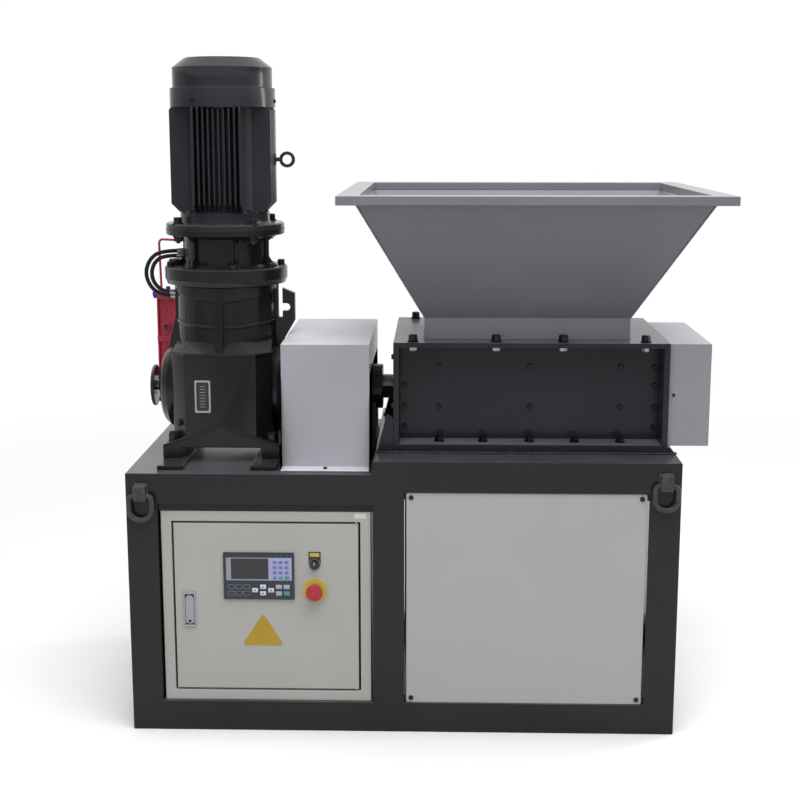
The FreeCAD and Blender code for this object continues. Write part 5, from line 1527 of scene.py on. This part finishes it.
@dataclass
class Motor:
    """Flange motor with its adapter, fins, cowl, eye bolt and terminal box."""

    bench: Bench
    x: float = -489.0
    y: float = -65.0
    adapter_low: float = 1073.0
    adapter_flange: float = 1117.0
    adapter_top: float = 1209.0
    motor_flange_top: float = 1224.0
    fins_low: float = 1252.0
    fins_high: float = 1502.0
    cowl_lip: float = 1549.0
    cowl_cone: float = 1597.0
    cowl_top: float = 1621.0

    def build(self) -> None:
        """Builds the motor."""
        self.adapter()
        self.finned_body()
        self.cowl()
        self.eye_bolt()
        self.terminal_box()

    @property
    def axis(self) -> tuple[float, float, float]:
        """A point on the motor's axis."""
        return (self.x, self.y, 0.0)

    def circle(self, count: int, radius: float, z: float, facing: Facing, first: float) -> list[Seat]:
        """Gives seats round the motor's axis, the first of them at an angle in degrees."""
        spots = disc_outline(self.x, self.y, radius, count, math.radians(first))
        return [((x, y, z), facing) for x, y in spots]

    def adapter(self) -> None:
        """Turns the adapter and the two flanges, with ribs between them and bolts through them."""
        low, flange = self.adapter_low, self.adapter_flange
        top, joint = self.motor_flange_top, self.adapter_top
        plate = joint - 14.0
        body = [(0.0, low), (118.0, low), (147.0, low + 3.0), (150.0, low + 12.0), (152.0, low + 15.0),
                (152.0, flange - 2.5), (149.5, flange), (108.0, flange), (102.0, flange + 6.0),
                (102.0, plate - 8.0), (106.0, plate - 2.0), (112.0, plate), (143.5, plate),
                (146.0, plate + 2.0), (146.0, joint), (0.0, joint)]
        self.bench.turned("adapter_body", body, self.axis, Axis.Z, 128, "drive_paint",
                          stands_for=("motor_adapter",), sharp=32.0)
        ring = [(0.0, joint), (146.0, joint), (146.0, top - 3.0), (143.0, top), (116.0, top), (0.0, top)]
        self.bench.turned("motor_flange_ring", ring, self.axis, Axis.Z, 128, "motor_paint",
                          stands_for=("motor_flange",), sharp=32.0)
        lip = [(144.0, joint - 0.9), (146.6, joint - 0.9), (146.6, joint + 0.9), (144.0, joint + 0.9)]
        self.bench.turned("flange_joint", lip, self.axis, Axis.Z, 128, "black_rubber", ring=True)
        outline = ((98.0, flange - 2.0), (136.0, flange - 2.0), (116.0, flange + 14.0),
                   (110.0, flange + 24.0), (110.0, plate - 16.0), (130.0, plate + 1.0), (98.0, plate + 1.0))
        rib = Shape().prism([(self.y - out, z) for out, z in outline], Axis.X, self.x - 4.5, self.x + 4.5)
        self.bench.around("adapter_ribs", rib, 6, self.axis, Axis.Z, "drive_paint", first=22.0, soften=1.5,
                          clamp=False)
        for name, seats, kind, seed in (
                ("adapter_flange_bolts", self.circle(8, 138.0, flange, Facing.UP, 15.0),
                 Fastener(9.0, 12.0, 24, False, True), 11),
                ("motor_flange_bolts", self.circle(4, 132.0, top, Facing.UP, 38.0), Fastener(11.5, 14.0), 12),
                ("motor_flange_nuts", self.circle(4, 132.0, plate, Facing.DOWN, 38.0), Fastener(11.0, 12.0),
                 13)):
            self.bench.screw(name, seats, kind, "drive_paint", seed=seed)
        tails = Shape()
        for place, _ in self.circle(4, 132.0, plate - 18.0, Facing.DOWN, 38.0):
            tails.turned([(0.0, 0.0), (4.4, 0.0), (5.2, 1.0), (5.2, 18.0), (0.0, 18.0)], place, Axis.Z, 20)
        self.bench.make("motor_flange_studs", tails, "black_steel", sharp=40.0)

    def finned_body(self) -> None:
        """Builds the bell, the core and the fins."""
        bell, low, high = self.motor_flange_top, self.fins_low, self.fins_high
        core = [(0.0, bell), (113.0, bell), (110.0, bell + 5.0), (110.0, low - 3.0), (107.0, low),
                (101.0, low + 2.0), (98.0, low + 8.0), (98.0, high), (0.0, high)]
        nodes = ("motor_body",)
        self.bench.turned("motor_core", core, self.axis, Axis.Z, 112, "motor_paint", stands_for=nodes,
                          sharp=32.0)
        foot, tip, inner, thick = 20.0, 126.0, 70.0, 2.0
        outline = [(-inner, low), (-tip + 20.0, low), (-tip, low + foot), (-tip, high - 6.0),
                   (-tip + 4.0, high - 1.0), (-tip + 4.0, high), (-inner, high)]
        rings = [[Vector((across, y + (lean if y < -inner - 1.0 else 0.0), z)) for y, z in outline]
                 for across, lean in ((-thick, 0.6), (-thick + 0.9, 0.0), (thick - 0.9, 0.0), (thick, 0.6))]
        data = self.bench.fins.grow(Shape().skin(rings).mesh_data("fin"), {
            "Count": 10, "Spacing": 12.5 * MM, "Taper": 0.06, "Centre": tuple(Vector(self.axis) * MM),
            "Finish": self.bench.shop.material("motor_paint")})
        self.bench.settle("motor_fins", data, "motor_paint", stands_for=nodes, sharp=30.0)
        lug = Shape().box((self.x - 9.0, self.y - 112.0, bell + 0.5),
                          (self.x + 9.0, self.y - 100.0, low + 6.0))
        self.bench.around("bell_lugs", lug, 4, self.axis, Axis.Z, "motor_paint", first=45.0, soften=2.0)

    def cowl(self) -> None:
        """Builds the fan cowl: its skirt, the screws, and the grille of rings and bars on top."""
        low, lip, cone, top = self.fins_high, self.cowl_lip, self.cowl_cone, self.cowl_top
        skirt = [(0.0, low + 3.0), (124.0, low + 3.0), (126.6, low), (128.0, low + 0.6), (128.0, lip - 2.5),
                 (127.0, lip - 0.8), (124.0, lip), (121.4, lip + 1.0), (121.2, lip + 2.5),
                 (121.2, cone - 4.0),
                 (122.0, cone - 2.6), (122.0, cone - 0.6), (120.4, cone + 0.8), (93.0, top - 2.2),
                 (91.0, top - 2.4), (90.0, top - 6.0), (0.0, top - 6.0)]
        self.bench.turned("cowl_skirt", skirt, self.axis, Axis.Z, 128, "motor_paint",
                          stands_for=("fan_cowl",), sharp=32.0)
        wires = Shape()
        for radius in range(16, 89, 12):
            wires.turned(disc_outline(radius, top - 2.6, 2.0, 8), self.axis, Axis.Z, 72, ring=True)
        self.bench.make("grille_rings", wires, "motor_paint", sharp=80.0)
        bar = Shape().box((self.x - 3.0, self.y - 92.0, top - 6.5), (self.x + 3.0, self.y - 12.0, top - 1.2))
        self.bench.around("grille_bars", bar, 8, self.axis, Axis.Z, "motor_paint", soften=0.8)
        hub = [(0.0, top - 6.5), (17.0, top - 6.5), (17.0, top - 1.5), (14.0, top), (0.0, top)]
        self.bench.turned("grille_hub", hub, self.axis, Axis.Z, 48, "motor_paint", sharp=32.0)
        spots = []
        for turn in map(math.radians, (-116.0, -4.0, 64.0, 148.0)):
            place = (self.x + 127.5 * math.cos(turn), self.y + 127.5 * math.sin(turn), low + 15.0)
            spots.append((place, Euler((0.0, math.pi / 2, turn))))
        self.bench.screw("cowl_screws", spots, Fastener(4.6, 3.6, 24, False, True), "black_steel")

    def eye_bolt(self) -> None:
        """Dresses the lifting eye with a collar."""
        self.bench.soften("motor_eye_bolt", "motor_paint", 0.4, 1)
        self.bench.turned("eye_collar", [(0.0, 0.0), (14.0, 0.0), (14.0, 3.4), (12.0, 5.0), (0.0, 5.0)],
                          (self.x + 124.5, self.y, 1377.0), Axis.X, 32, "motor_paint", sharp=32.0)

    def terminal_box(self) -> None:
        """Builds the terminal box with its lid, screws and glands."""
        span = Span.of("terminal_box")
        low, high = span.low, span.high
        self.bench.plate("terminal_base", rounded(low.x + 3.0, low.z + 3.0, high.x - 3.0, high.z - 3.0,
                                                  9.0), low.y,
                         high.y - 16.0, "motor_paint", stands_for=("terminal_box",), soften=1.5)
        self.bench.plate("terminal_lid", rounded(low.x, low.z, high.x, high.z, 10.0), high.y - 15.0,
                         high.y - 3.0, "motor_paint", soften=2.5, steps=3)
        spots = [((x, high.y - 3.2, z), Facing.BACK) for x in (low.x + 10.0, high.x - 10.0)
                 for z in (low.z + 10.0, high.z - 10.0)]
        self.bench.screw("terminal_screws", spots, Fastener(4.2, 3.0, 6, False), "black_steel")
        glands = [((span.middle.x + away, low.y + 30.0, low.z + 3.2), Facing.DOWN) for away in (-28.0, 28.0)]
        self.bench.screw("terminal_glands", glands, Fastener(12.0, 11.0), "black_plastic", seed=3)


@dataclass
class Lubricator:
    """Red oil tank with its fittings and the pair of hoses."""

    bench: Bench
    hose_radius: float = 5.0
    tank_width: float = 50.0
    tank_depth: float = 40.0

    def build(self) -> None:
        """Builds the lubricator."""
        self.hoses()
        self.tank()
        self.fittings()

    def hoses(self) -> None:
        """Runs the two hoses, each a smooth cord with a crimped nut at both ends."""
        routes = {
            "hose_outer": (0.235, [(-0.600, -0.045, 1.151), (-0.656, -0.045, 1.151), (-0.686, -0.044, 1.129),
                                   (-0.698, -0.043, 1.094), (-0.686, -0.044, 1.059), (-0.656, -0.045, 1.037),
                                   (-0.620, -0.045, 1.037)]),
            "hose_inner": (0.1905, [(-0.600, -0.056, 1.140), (-0.648, -0.056, 1.140), (-0.672, -0.055, 1.122),
                                    (-0.681, -0.054, 1.094), (-0.672, -0.055, 1.066), (-0.648, -0.056, 1.048),
                                    (-0.620, -0.056, 1.048)]),
        }
        nuts = Shape()
        for node, (length, points) in routes.items():
            curve = bpy.data.curves.new(node + "_line", "CURVE")
            curve.dimensions = "3D"
            curve.bevel_depth = self.hose_radius * MM
            curve.bevel_resolution = 5
            curve.resolution_u = 16
            curve.use_fill_caps = True
            spline = curve.splines.new("NURBS")
            spline.points.add(len(points) - 1)
            for item, point in zip(spline.points, points):
                item.co = (*point, 1.0)
            spline.order_u = 3
            spline.use_endpoint_u = True
            curve.materials.append(self.bench.shop.material("black_rubber"))
            hose = placed(node + "_rubber", curve)
            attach(hose, MACHINE)
            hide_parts(node)
            LOG.info("    %s, a cord of %.0f mm", hose.name, length / MM)
            for end in (points[0], points[-1]):
                x, y, z = (part / MM for part in end)
                nuts.prism(disc_outline(y, z, 7.2, 6), Axis.X, x - 4.0, x + 3.0)
                nuts.turned([(5.0, -14.0), (5.9, -14.0), (6.0, -4.0), (5.0, -4.0)], (x, y, z), Axis.X, 20,
                            ring=True)
        self.bench.make("hose_nuts", nuts, "zinc_steel", soften=0.3, sharp=30.0)

    def tank(self) -> None:
        """Builds the tank as a folded channel with a recessed face."""
        arm = Span.of("oil_tank")
        low = Vector((arm.low.x, arm.high.y - self.tank_depth, arm.low.z))
        high = Vector((arm.low.x + self.tank_width, arm.high.y, arm.high.z))
        wall, face, x = 5.0, low.y + 7.0, (low.x + high.x) / 2
        channel = [(low.x, low.y), (low.x + wall, low.y), (low.x + wall, face), (high.x - wall, face),
                   (high.x - wall, low.y), (high.x, low.y), (high.x, high.y), (low.x, high.y)]
        body = Shape().prism(channel, Axis.Z, low.z, high.z - 22.0)
        body.box((low.x, low.y, high.z - 22.5), high)
        body.box((low.x + 17.0, arm.low.y, low.z + 30.0), (arm.high.x, low.y + 0.5, low.z + 60.0))
        self.bench.make("tank_channel", body, "red_paint", stands_for=("oil_tank",), soften=1.4, clamp=False)
        spots = [((x + across, face, z), Facing.FRONT) for across, z in (
            (-9.0, high.z - 36.0), (-2.0, high.z - 50.5), (8.0, high.z - 28.0), (0.0, low.z + 76.0))]
        self.bench.screw("tank_bolts", spots, Fastener(3.6, 3.6), "red_paint", seed=17)
        sight = (x - 1.0, face, high.z - 96.0)
        rim = [(7.0, 0.0), (11.0, 0.0), (11.0, -4.0), (9.5, -5.0), (7.0, -5.0)]
        self.bench.turned("sight_ring", rim, sight, Axis.Y, 36, "red_paint", ring=True, sharp=32.0)
        self.bench.turned("sight_glass", [(0.0, 0.2), (7.2, 0.2), (7.2, -2.0), (0.0, -2.6)], sight, Axis.Y,
                          32, "display")
        band = Shape().box((low.x - 0.6, low.y - 0.8, low.z + 92.0),
                           (high.x + 0.8, high.y + 0.8, low.z + 106.0))
        self.bench.make("tank_band", band, "red_paint", soften=0.8)

    def fittings(self) -> None:
        """Dresses the stay, the tap and the breather."""
        self.bench.soften("tank_stay", "red_paint", 0.3, 1)
        span = Span.of("tank_tap")
        y, z = span.middle.y, span.middle.z
        left, right = span.low.x, span.high.x
        knob = [(0.0, left), (6.0, left), (9.0, left + 1.8), (10.0, left + 4.0), (10.0, right - 4.0),
                (7.0, right - 1.2), (4.0, right - 1.0), (4.0, right), (0.0, right)]
        self.bench.turned("tap_knob", knob, (0.0, y, z), Axis.X, 32, "blue_plastic", stands_for=("tank_tap",),
                          sharp=50.0)
        grip = Shape().box((left + 2.6, y - 1.8, z + 9.0), (right - 2.6, y + 1.8, z + 11.0))
        self.bench.around("tap_grips", grip, 8, (0.0, y, z), Axis.X, "blue_plastic", soften=0.6)
        tank = Span.of("oil_tank")
        self.bench.turned("tank_cap", [(0.0, 0.0), (6.0, 0.0), (6.0, 7.0), (4.6, 9.0), (0.0, 9.0)],
                          (tank.low.x + 27.0, tank.high.y - 18.0, tank.high.z), Axis.Z, 24, "blue_plastic",
                          sharp=32.0)
        valve = Span.of("breather_valve")
        low, high = valve.low.z, valve.high.z
        cap = [(0.0, low), (17.0, low), (17.0, low + 3.0), (21.0, low + 4.5), (21.0, high - 5.0),
               (18.0, high - 2.0), (8.0, high - 1.2), (6.0, high), (0.0, high)]
        self.bench.turned("breather_cap", cap, (valve.middle.x, valve.middle.y, 0.0), Axis.Z, 40,
                          "drive_paint", stands_for=("breather_valve",), sharp=32.0)


@dataclass
class DriveLine:
    """Indicator disc, coupling, pedestal bearing and their sheet cover."""

    bench: Bench
    y: float = -65.0
    z: float = 812.0
    body: str = "drive_rotor"

    def build(self) -> None:
        """Builds the drive line."""
        self.bench.soften("coupling_cover", "cover_grey", 1.5, 3)
        self.bench.soften("bearing_pedestal", "frame_paint", 1.6, 3)
        self.disc()
        self.coupling()
        cover = Span.of("coupling_cover")
        spots = [((cover.middle.x, y, 648.5), Facing.UP) for y in (cover.low.y + 20.0, cover.high.y - 20.0)]
        self.bench.screw("cover_lip_screws", spots, Fastener(5.0, 5.0, 6, False), "black_steel", seed=4)
        stand = Span.of("bearing_pedestal")
        spots = [((stand.low.x + 25.0, y, 660.0), Facing.UP)
                 for y in (stand.low.y + 14.0, stand.high.y - 14.0)]
        self.bench.screw("pedestal_bolts", spots, Fastener(9.0, 9.0), "black_steel", seed=6)

    def disc(self) -> None:
        """Turns the disc on the shaft's free end, with its bolt."""
        span = Span.of("indicator_disc")
        low, high = span.low.x, span.high.x
        disc = [(0.0, low + 1.4), (16.0, low + 1.4), (20.0, low + 2.4), (40.0, low + 2.4), (43.0, low + 0.8),
                (46.0, low), (50.0, low), (52.0, low + 1.6), (52.0, high - 1.6), (50.4, high), (0.0, high)]
        self.bench.turned("turned_disc", disc, (0.0, self.y, self.z), Axis.X, 96, "chamber_paint", self.body,
                          stands_for=("indicator_disc",), sharp=40.0)
        for name, x, facing, kind in (("disc_bolt", low + 1.6, Facing.LEFT, Fastener(7.5, 5.5)),
                                      ("disc_nut", high, Facing.RIGHT, Fastener(9.5, 5.5, 6, False))):
            self.bench.screw(name, [((x, self.y, self.z), facing)], kind, "zinc_steel", self.body)

    def coupling(self) -> None:
        """Turns the coupling's two hubs with the soft ring between them and their bolts."""
        span = Span.of("coupling")
        low, high, middle, radius = span.low.x, span.high.x, span.middle.x, span.size.y / 2
        place = (0.0, self.y, self.z)
        hubs = Shape()
        profile = [(24.0, 0.0), (44.0, 0.0), (46.0, 2.0), (46.0, 17.0), (50.0, 20.0), (radius - 1.6, 20.0),
                   (radius, 21.6), (radius, 36.4), (radius - 1.6, 38.0), (24.0, 38.0)]
        for start, side in ((low, 1.0), (high, -1.0)):
            hubs.turned([(out, start + side * along) for out, along in profile], place, Axis.X, 80, ring=True)
        self.bench.make("coupling_hubs", hubs, "drive_paint", self.body, stands_for=("coupling",), sharp=32.0)
        ring = [(24.0, middle - 8.0), (radius - 5.0, middle - 8.0), (radius - 3.0, middle - 5.0),
                (radius - 3.0, middle + 5.0), (radius - 5.0, middle + 8.0), (24.0, middle + 8.0)]
        self.bench.turned("coupling_ring", ring, place, Axis.X, 80, "black_rubber", self.body, ring=True,
                          sharp=32.0)
        spots = [((x, y, z), facing) for y, z in disc_outline(self.y, self.z, 58.0, 6)
                 for x, facing in ((low + 20.0, Facing.LEFT), (high - 20.0, Facing.RIGHT))]
        self.bench.screw("coupling_bolts", spots, Fastener(7.0, 7.0), "black_steel", self.body, seed=8)


# Cutting chamber and hopper
@dataclass
class CuttingChamber:
    """The bolted chamber, its cover on the right end and the two cutter shafts in it."""

    bench: Bench
    wall: float = -165.0

    def build(self) -> None:
        """Builds the chamber."""
        for node in ("end_plates", "chamber_walls", "chamber_base_bars", "hopper_flange", "gussets"):
            self.bench.soften(node, "chamber_paint", 1.2, 2)
        self.bench.soften("end_cover", "end_cover_grey", 1.5, 3)
        self.bench.soften("scraper_combs", "tool_steel", 0.8, 1)
        self.bench.soften("front_rotor", "tool_steel", 0.7, 1)
        self.bench.soften("rear_rotor", "tool_steel", 0.7, 1)
        self.bolts()
        self.welds()

    def bolts(self) -> None:
        """Sets the rows of bolts on the flange, the base bars and the walls."""
        flange, bars, columns = (-20.0, 180.0, 341.0, 539.0), (44.0, 151.0, 264.0, 374.0,
                                                               485.0), (43.0, 265.0, 487.0)
        places = [(-41.0, z) for z in (833.0, 781.0, 729.0)] + [(570.0, z)
                                                                for z in (879.0, 834.0, 780.0, 730.0)]
        places += [(x, z) for x in columns for z in (880.0, 780.0)]
        flange_top, flange_low, bar_top = 948.0, 936.0, 700.0
        cover = Span.of("end_cover")
        rows = (
            ("flange_bolts", Fastener(11.0, 15.0), "black_steel",
             [((x, y, flange_top), Facing.UP) for x in flange for y in (-215.0, 215.0)]),
            ("flange_nuts", Fastener(10.0, 9.0), "zinc_steel",
             [((x, y, flange_low), Facing.DOWN) for x in flange for y in (-215.0, 215.0)]),
            ("base_bar_bolts", Fastener(10.5, 11.0), "black_steel",
             [((x, y, bar_top), Facing.UP) for x in bars for y in (-200.0, 200.0)]),
            ("wall_bolts", Fastener(7.0, 5.5, 24, False, True), "black_steel",
             [((x, y, z), facing) for y, facing in ((self.wall, Facing.FRONT), (-self.wall, Facing.BACK))
              for x, z in places]),
            ("end_plate_screws", Fastener(6.6, 5.0, 24, False, True), "chamber_paint",
             [((-67.0, y, z), Facing.LEFT) for y in (-222.0, 222.0) for z in (725.0, 790.0, 855.0, 912.0)]),
            ("end_cover_screws", Fastener(4.0, 2.6, 24, False, True), "black_steel",
             [((cover.low.x + 12.0, cover.low.y, 822.0), Facing.FRONT),
              ((cover.low.x + 12.0, cover.high.y, 822.0), Facing.BACK)]))
        for seed, (name, kind, look, spots) in enumerate(rows, 21):
            self.bench.screw(name, spots, kind, look, seed=seed)

    def welds(self) -> None:
        """Lays the welds at the chamber's foot."""
        lines = [[(-66.0, -240.0, 680.0), (594.0, -240.0, 680.0)],
                 [(-66.0, 240.0, 680.0), (594.0, 240.0, 680.0)]]
        for span in self.bench.solids("gussets"):
            for y in (span.low.y, span.high.y):
                lines.append([(span.low.x, y, 679.5), (span.high.x, y, 679.5)])
        self.bench.weld("chamber_welds", lines, 5.0, "chamber_paint", 5)


@dataclass
class Hopper:
    """Feed hopper: neck, sloping walls and the folded rim, with their welds."""

    bench: Bench
    bead: float = 4.5

    def build(self) -> None:
        """Builds the hopper."""
        for node, width in (("hopper_neck", 1.2), ("hopper_long_walls", 0.8), ("hopper_end_walls", 0.8)):
            self.bench.soften(node, "hopper_grey", width, 3)
        self.bench.soften("hopper_rim", "rim_grey", 2.0, 3)
        self.welds()

    def welds(self) -> None:
        """Lays the welds at the corners and at the neck."""
        neck, walls = Span.of("hopper_neck"), Span.of("hopper_long_walls")
        lines = [[(low_x, low_y, walls.low.z + 1.0), (top_x, top_y, walls.high.z - 1.0)]
                 for low_x, top_x in ((neck.low.x, walls.low.x), (neck.high.x, walls.high.x))
                 for low_y, top_y in ((neck.low.y, walls.low.y), (neck.high.y, walls.high.y))]
        ring = [(neck.low.x, neck.low.y), (neck.high.x, neck.low.y), (neck.high.x, neck.high.y),
                (neck.low.x, neck.high.y), (neck.low.x, neck.low.y)]
        lines.append([(x, y, neck.low.z + 1.0) for x, y in ring])
        self.bench.weld("hopper_welds", lines, self.bead, "hopper_grey", 9)


# Studio
@dataclass
class Studio:
    """The floor, the light and the camera."""

    camera_place: tuple[float, float, float] = (0.0395, -3.6120, 1.4495)
    camera_turn: tuple[float, float, float] = (79.25, 0.0, 1.53)
    lens: float = 64.125
    sky: float = 0.60
    dark_side: float = 0.35
    key_power: float = 128.0
    fill_power: float = 16.0
    strip_power: float = 26.0

    def build(self) -> None:
        """Builds the studio."""
        self.camera()
        self.floor()
        self.world()
        self.lamps()

    def camera(self) -> None:
        """Stands the camera where the photograph was taken from."""
        data = bpy.data.cameras.new("camera")
        data.sensor_width = 36.0
        data.lens = self.lens
        data.clip_end = 60.0
        camera = placed("camera", data)
        camera.location = self.camera_place
        camera.rotation_euler = [math.radians(part) for part in self.camera_turn]
        bpy.context.scene.camera = camera

    def floor(self) -> None:
        """Lays the pale floor. It keeps the shadow, and goes over to white far from the machine."""
        data = Shape().box((-9000.0, -9000.0, -20.0), (9000.0, 9000.0, 0.0)).mesh_data("floor")
        recipe = Recipe("pale_floor")
        path = recipe.node("ShaderNodeLightPath").outputs
        straight = Wire(recipe, path["Is Camera Ray"]) + Wire(recipe, path["Is Glossy Ray"])
        seen = recipe.maths("ADD", straight, path["Is Transmission Ray"], clamp=True)
        grain = recipe.noise(30.0, 3.0)
        far = recipe.node("ShaderNodeVectorMath", {"operation": "LENGTH"}, {0: recipe.place}).outputs["Value"]
        white = Wire(recipe, far).step(1.2, 4.2) * seen
        colour = recipe.blend(seen, linear((150, 150, 152)), linear((252, 252, 252)))
        recipe.connect({"Base Color": colour, "Roughness": grain * 0.1 + 0.8, "Specular IOR Level": 0.1})
        glow = recipe.out("ShaderNodeEmission", {"Color": (1.0, 1.0, 1.0, 1.0), "Strength": 1.0})
        mixed = recipe.out("ShaderNodeMixShader", {0: white, 1: recipe.shader.outputs[0], 2: glow})
        output = next(node for node in recipe.tree.nodes if node.bl_idname == "ShaderNodeOutputMaterial")
        recipe.tree.links.new(mixed, output.inputs["Surface"])
        data.materials.append(recipe.material)
        floor = placed("floor", data)

    def world(self) -> None:
        """Makes the soft white surroundings."""
        world = bpy.data.worlds.new("surroundings")
        bpy.context.scene.world = world
        world.use_nodes = True
        wiring = Wiring()
        wiring.tree = world.node_tree
        wiring.tree.nodes.clear()
        path = wiring.node("ShaderNodeLightPath").outputs
        plain = wiring.maths("ADD", path["Is Camera Ray"], path["Is Transmission Ray"], clamp=True)
        mirrored = Wire(wiring, path["Is Glossy Ray"]) * (1.0 - plain)
        way = wiring.node("ShaderNodeSeparateXYZ", None,
                          {0: wiring.node("ShaderNodeTexCoord").outputs["Generated"]}).outputs
        behind = Wire(wiring, way[1]).step(-0.45, 0.2) * (1.0 - self.dark_side) + self.dark_side
        sided = Wire(wiring, way[0]).step(-1.0, -0.2) * 0.5 + 0.5
        strength = plain + mirrored * behind * sided + (1.0 - plain - mirrored) * self.sky
        glow = wiring.node("ShaderNodeBackground", None,
                           {"Color": (1.0, 1.0, 1.0, 1.0), "Strength": strength})
        wiring.node("ShaderNodeOutputWorld", None, {"Surface": glow.outputs[0]})
        bpy.context.scene.view_settings.view_transform = "Standard"

    def lamps(self) -> None:
        """Hangs the soft lamps and the tall strip, which also shows in what shines."""
        for name, place, target, wide, tall, power in (
                ("overhead", (0.2, -1.2, 3.9), (0.0, 0.0, 0.7), 3.4, 3.4, self.key_power),
                ("front_fill", (-1.6, -4.6, 2.0), (0.0, 0.0, 0.8), 2.4, 2.4, self.fill_power),
                ("rear_fill", (0.6, 3.6, 2.8), (0.0, 0.0, 0.9), 2.4, 2.4, self.fill_power),
                ("side_window", (3.0, 1.1, 1.9), (-0.3, -0.1, 1.2), 0.5, 2.2, self.strip_power)):
            data = bpy.data.lights.new(name, "AREA")
            data.energy = power
            data.shape = "RECTANGLE"
            data.size = wide
            data.size_y = tall
            lamp = placed(name, data)
            lamp.location = place
            lamp.rotation_euler = (Vector(target) - Vector(place)).to_track_quat("-Z", "Y").to_euler()
            lamp.visible_glossy = tall > wide
            lamp.visible_camera = tall == wide


def dress_carried(bench: Bench) -> None:
    """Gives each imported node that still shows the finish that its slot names.

    Args:
        bench: The bench.
    """
    own = {"lifting_ring_left": "forged_paint", "lifting_ring_right": "forged_paint"}
    for name, node in bench.nodes.items():
        if node.hide_render:
            continue
        for slot in node.material_slots:
            look = own.get(name, slot.material.name)
            slot.material = bench.shop.material(look)
        LOG.info("    %s keeps its packed shape", name)


def main() -> None:
    """Builds every sub-assembly in order."""
    logging.basicConfig(level=logging.INFO, format="%(message)s", stream=sys.stdout)
    for thing in list(bpy.data.objects):
        bpy.data.objects.remove(thing)
    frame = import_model()
    bench = Bench(frame)
    Studio().build()
    Lubricator(bench).build()
    WeldedFrame(bench).build()
    SheetPanels(bench).build()
    Cabinet(bench).build()
    OperatorPanel(bench).build()
    Gearbox(bench).build()
    Motor(bench).build()
    DriveLine(bench).build()
    CuttingChamber(bench).build()
    Hopper(bench).build()
    dress_carried(bench)


if __name__ == "__main__":
    main()
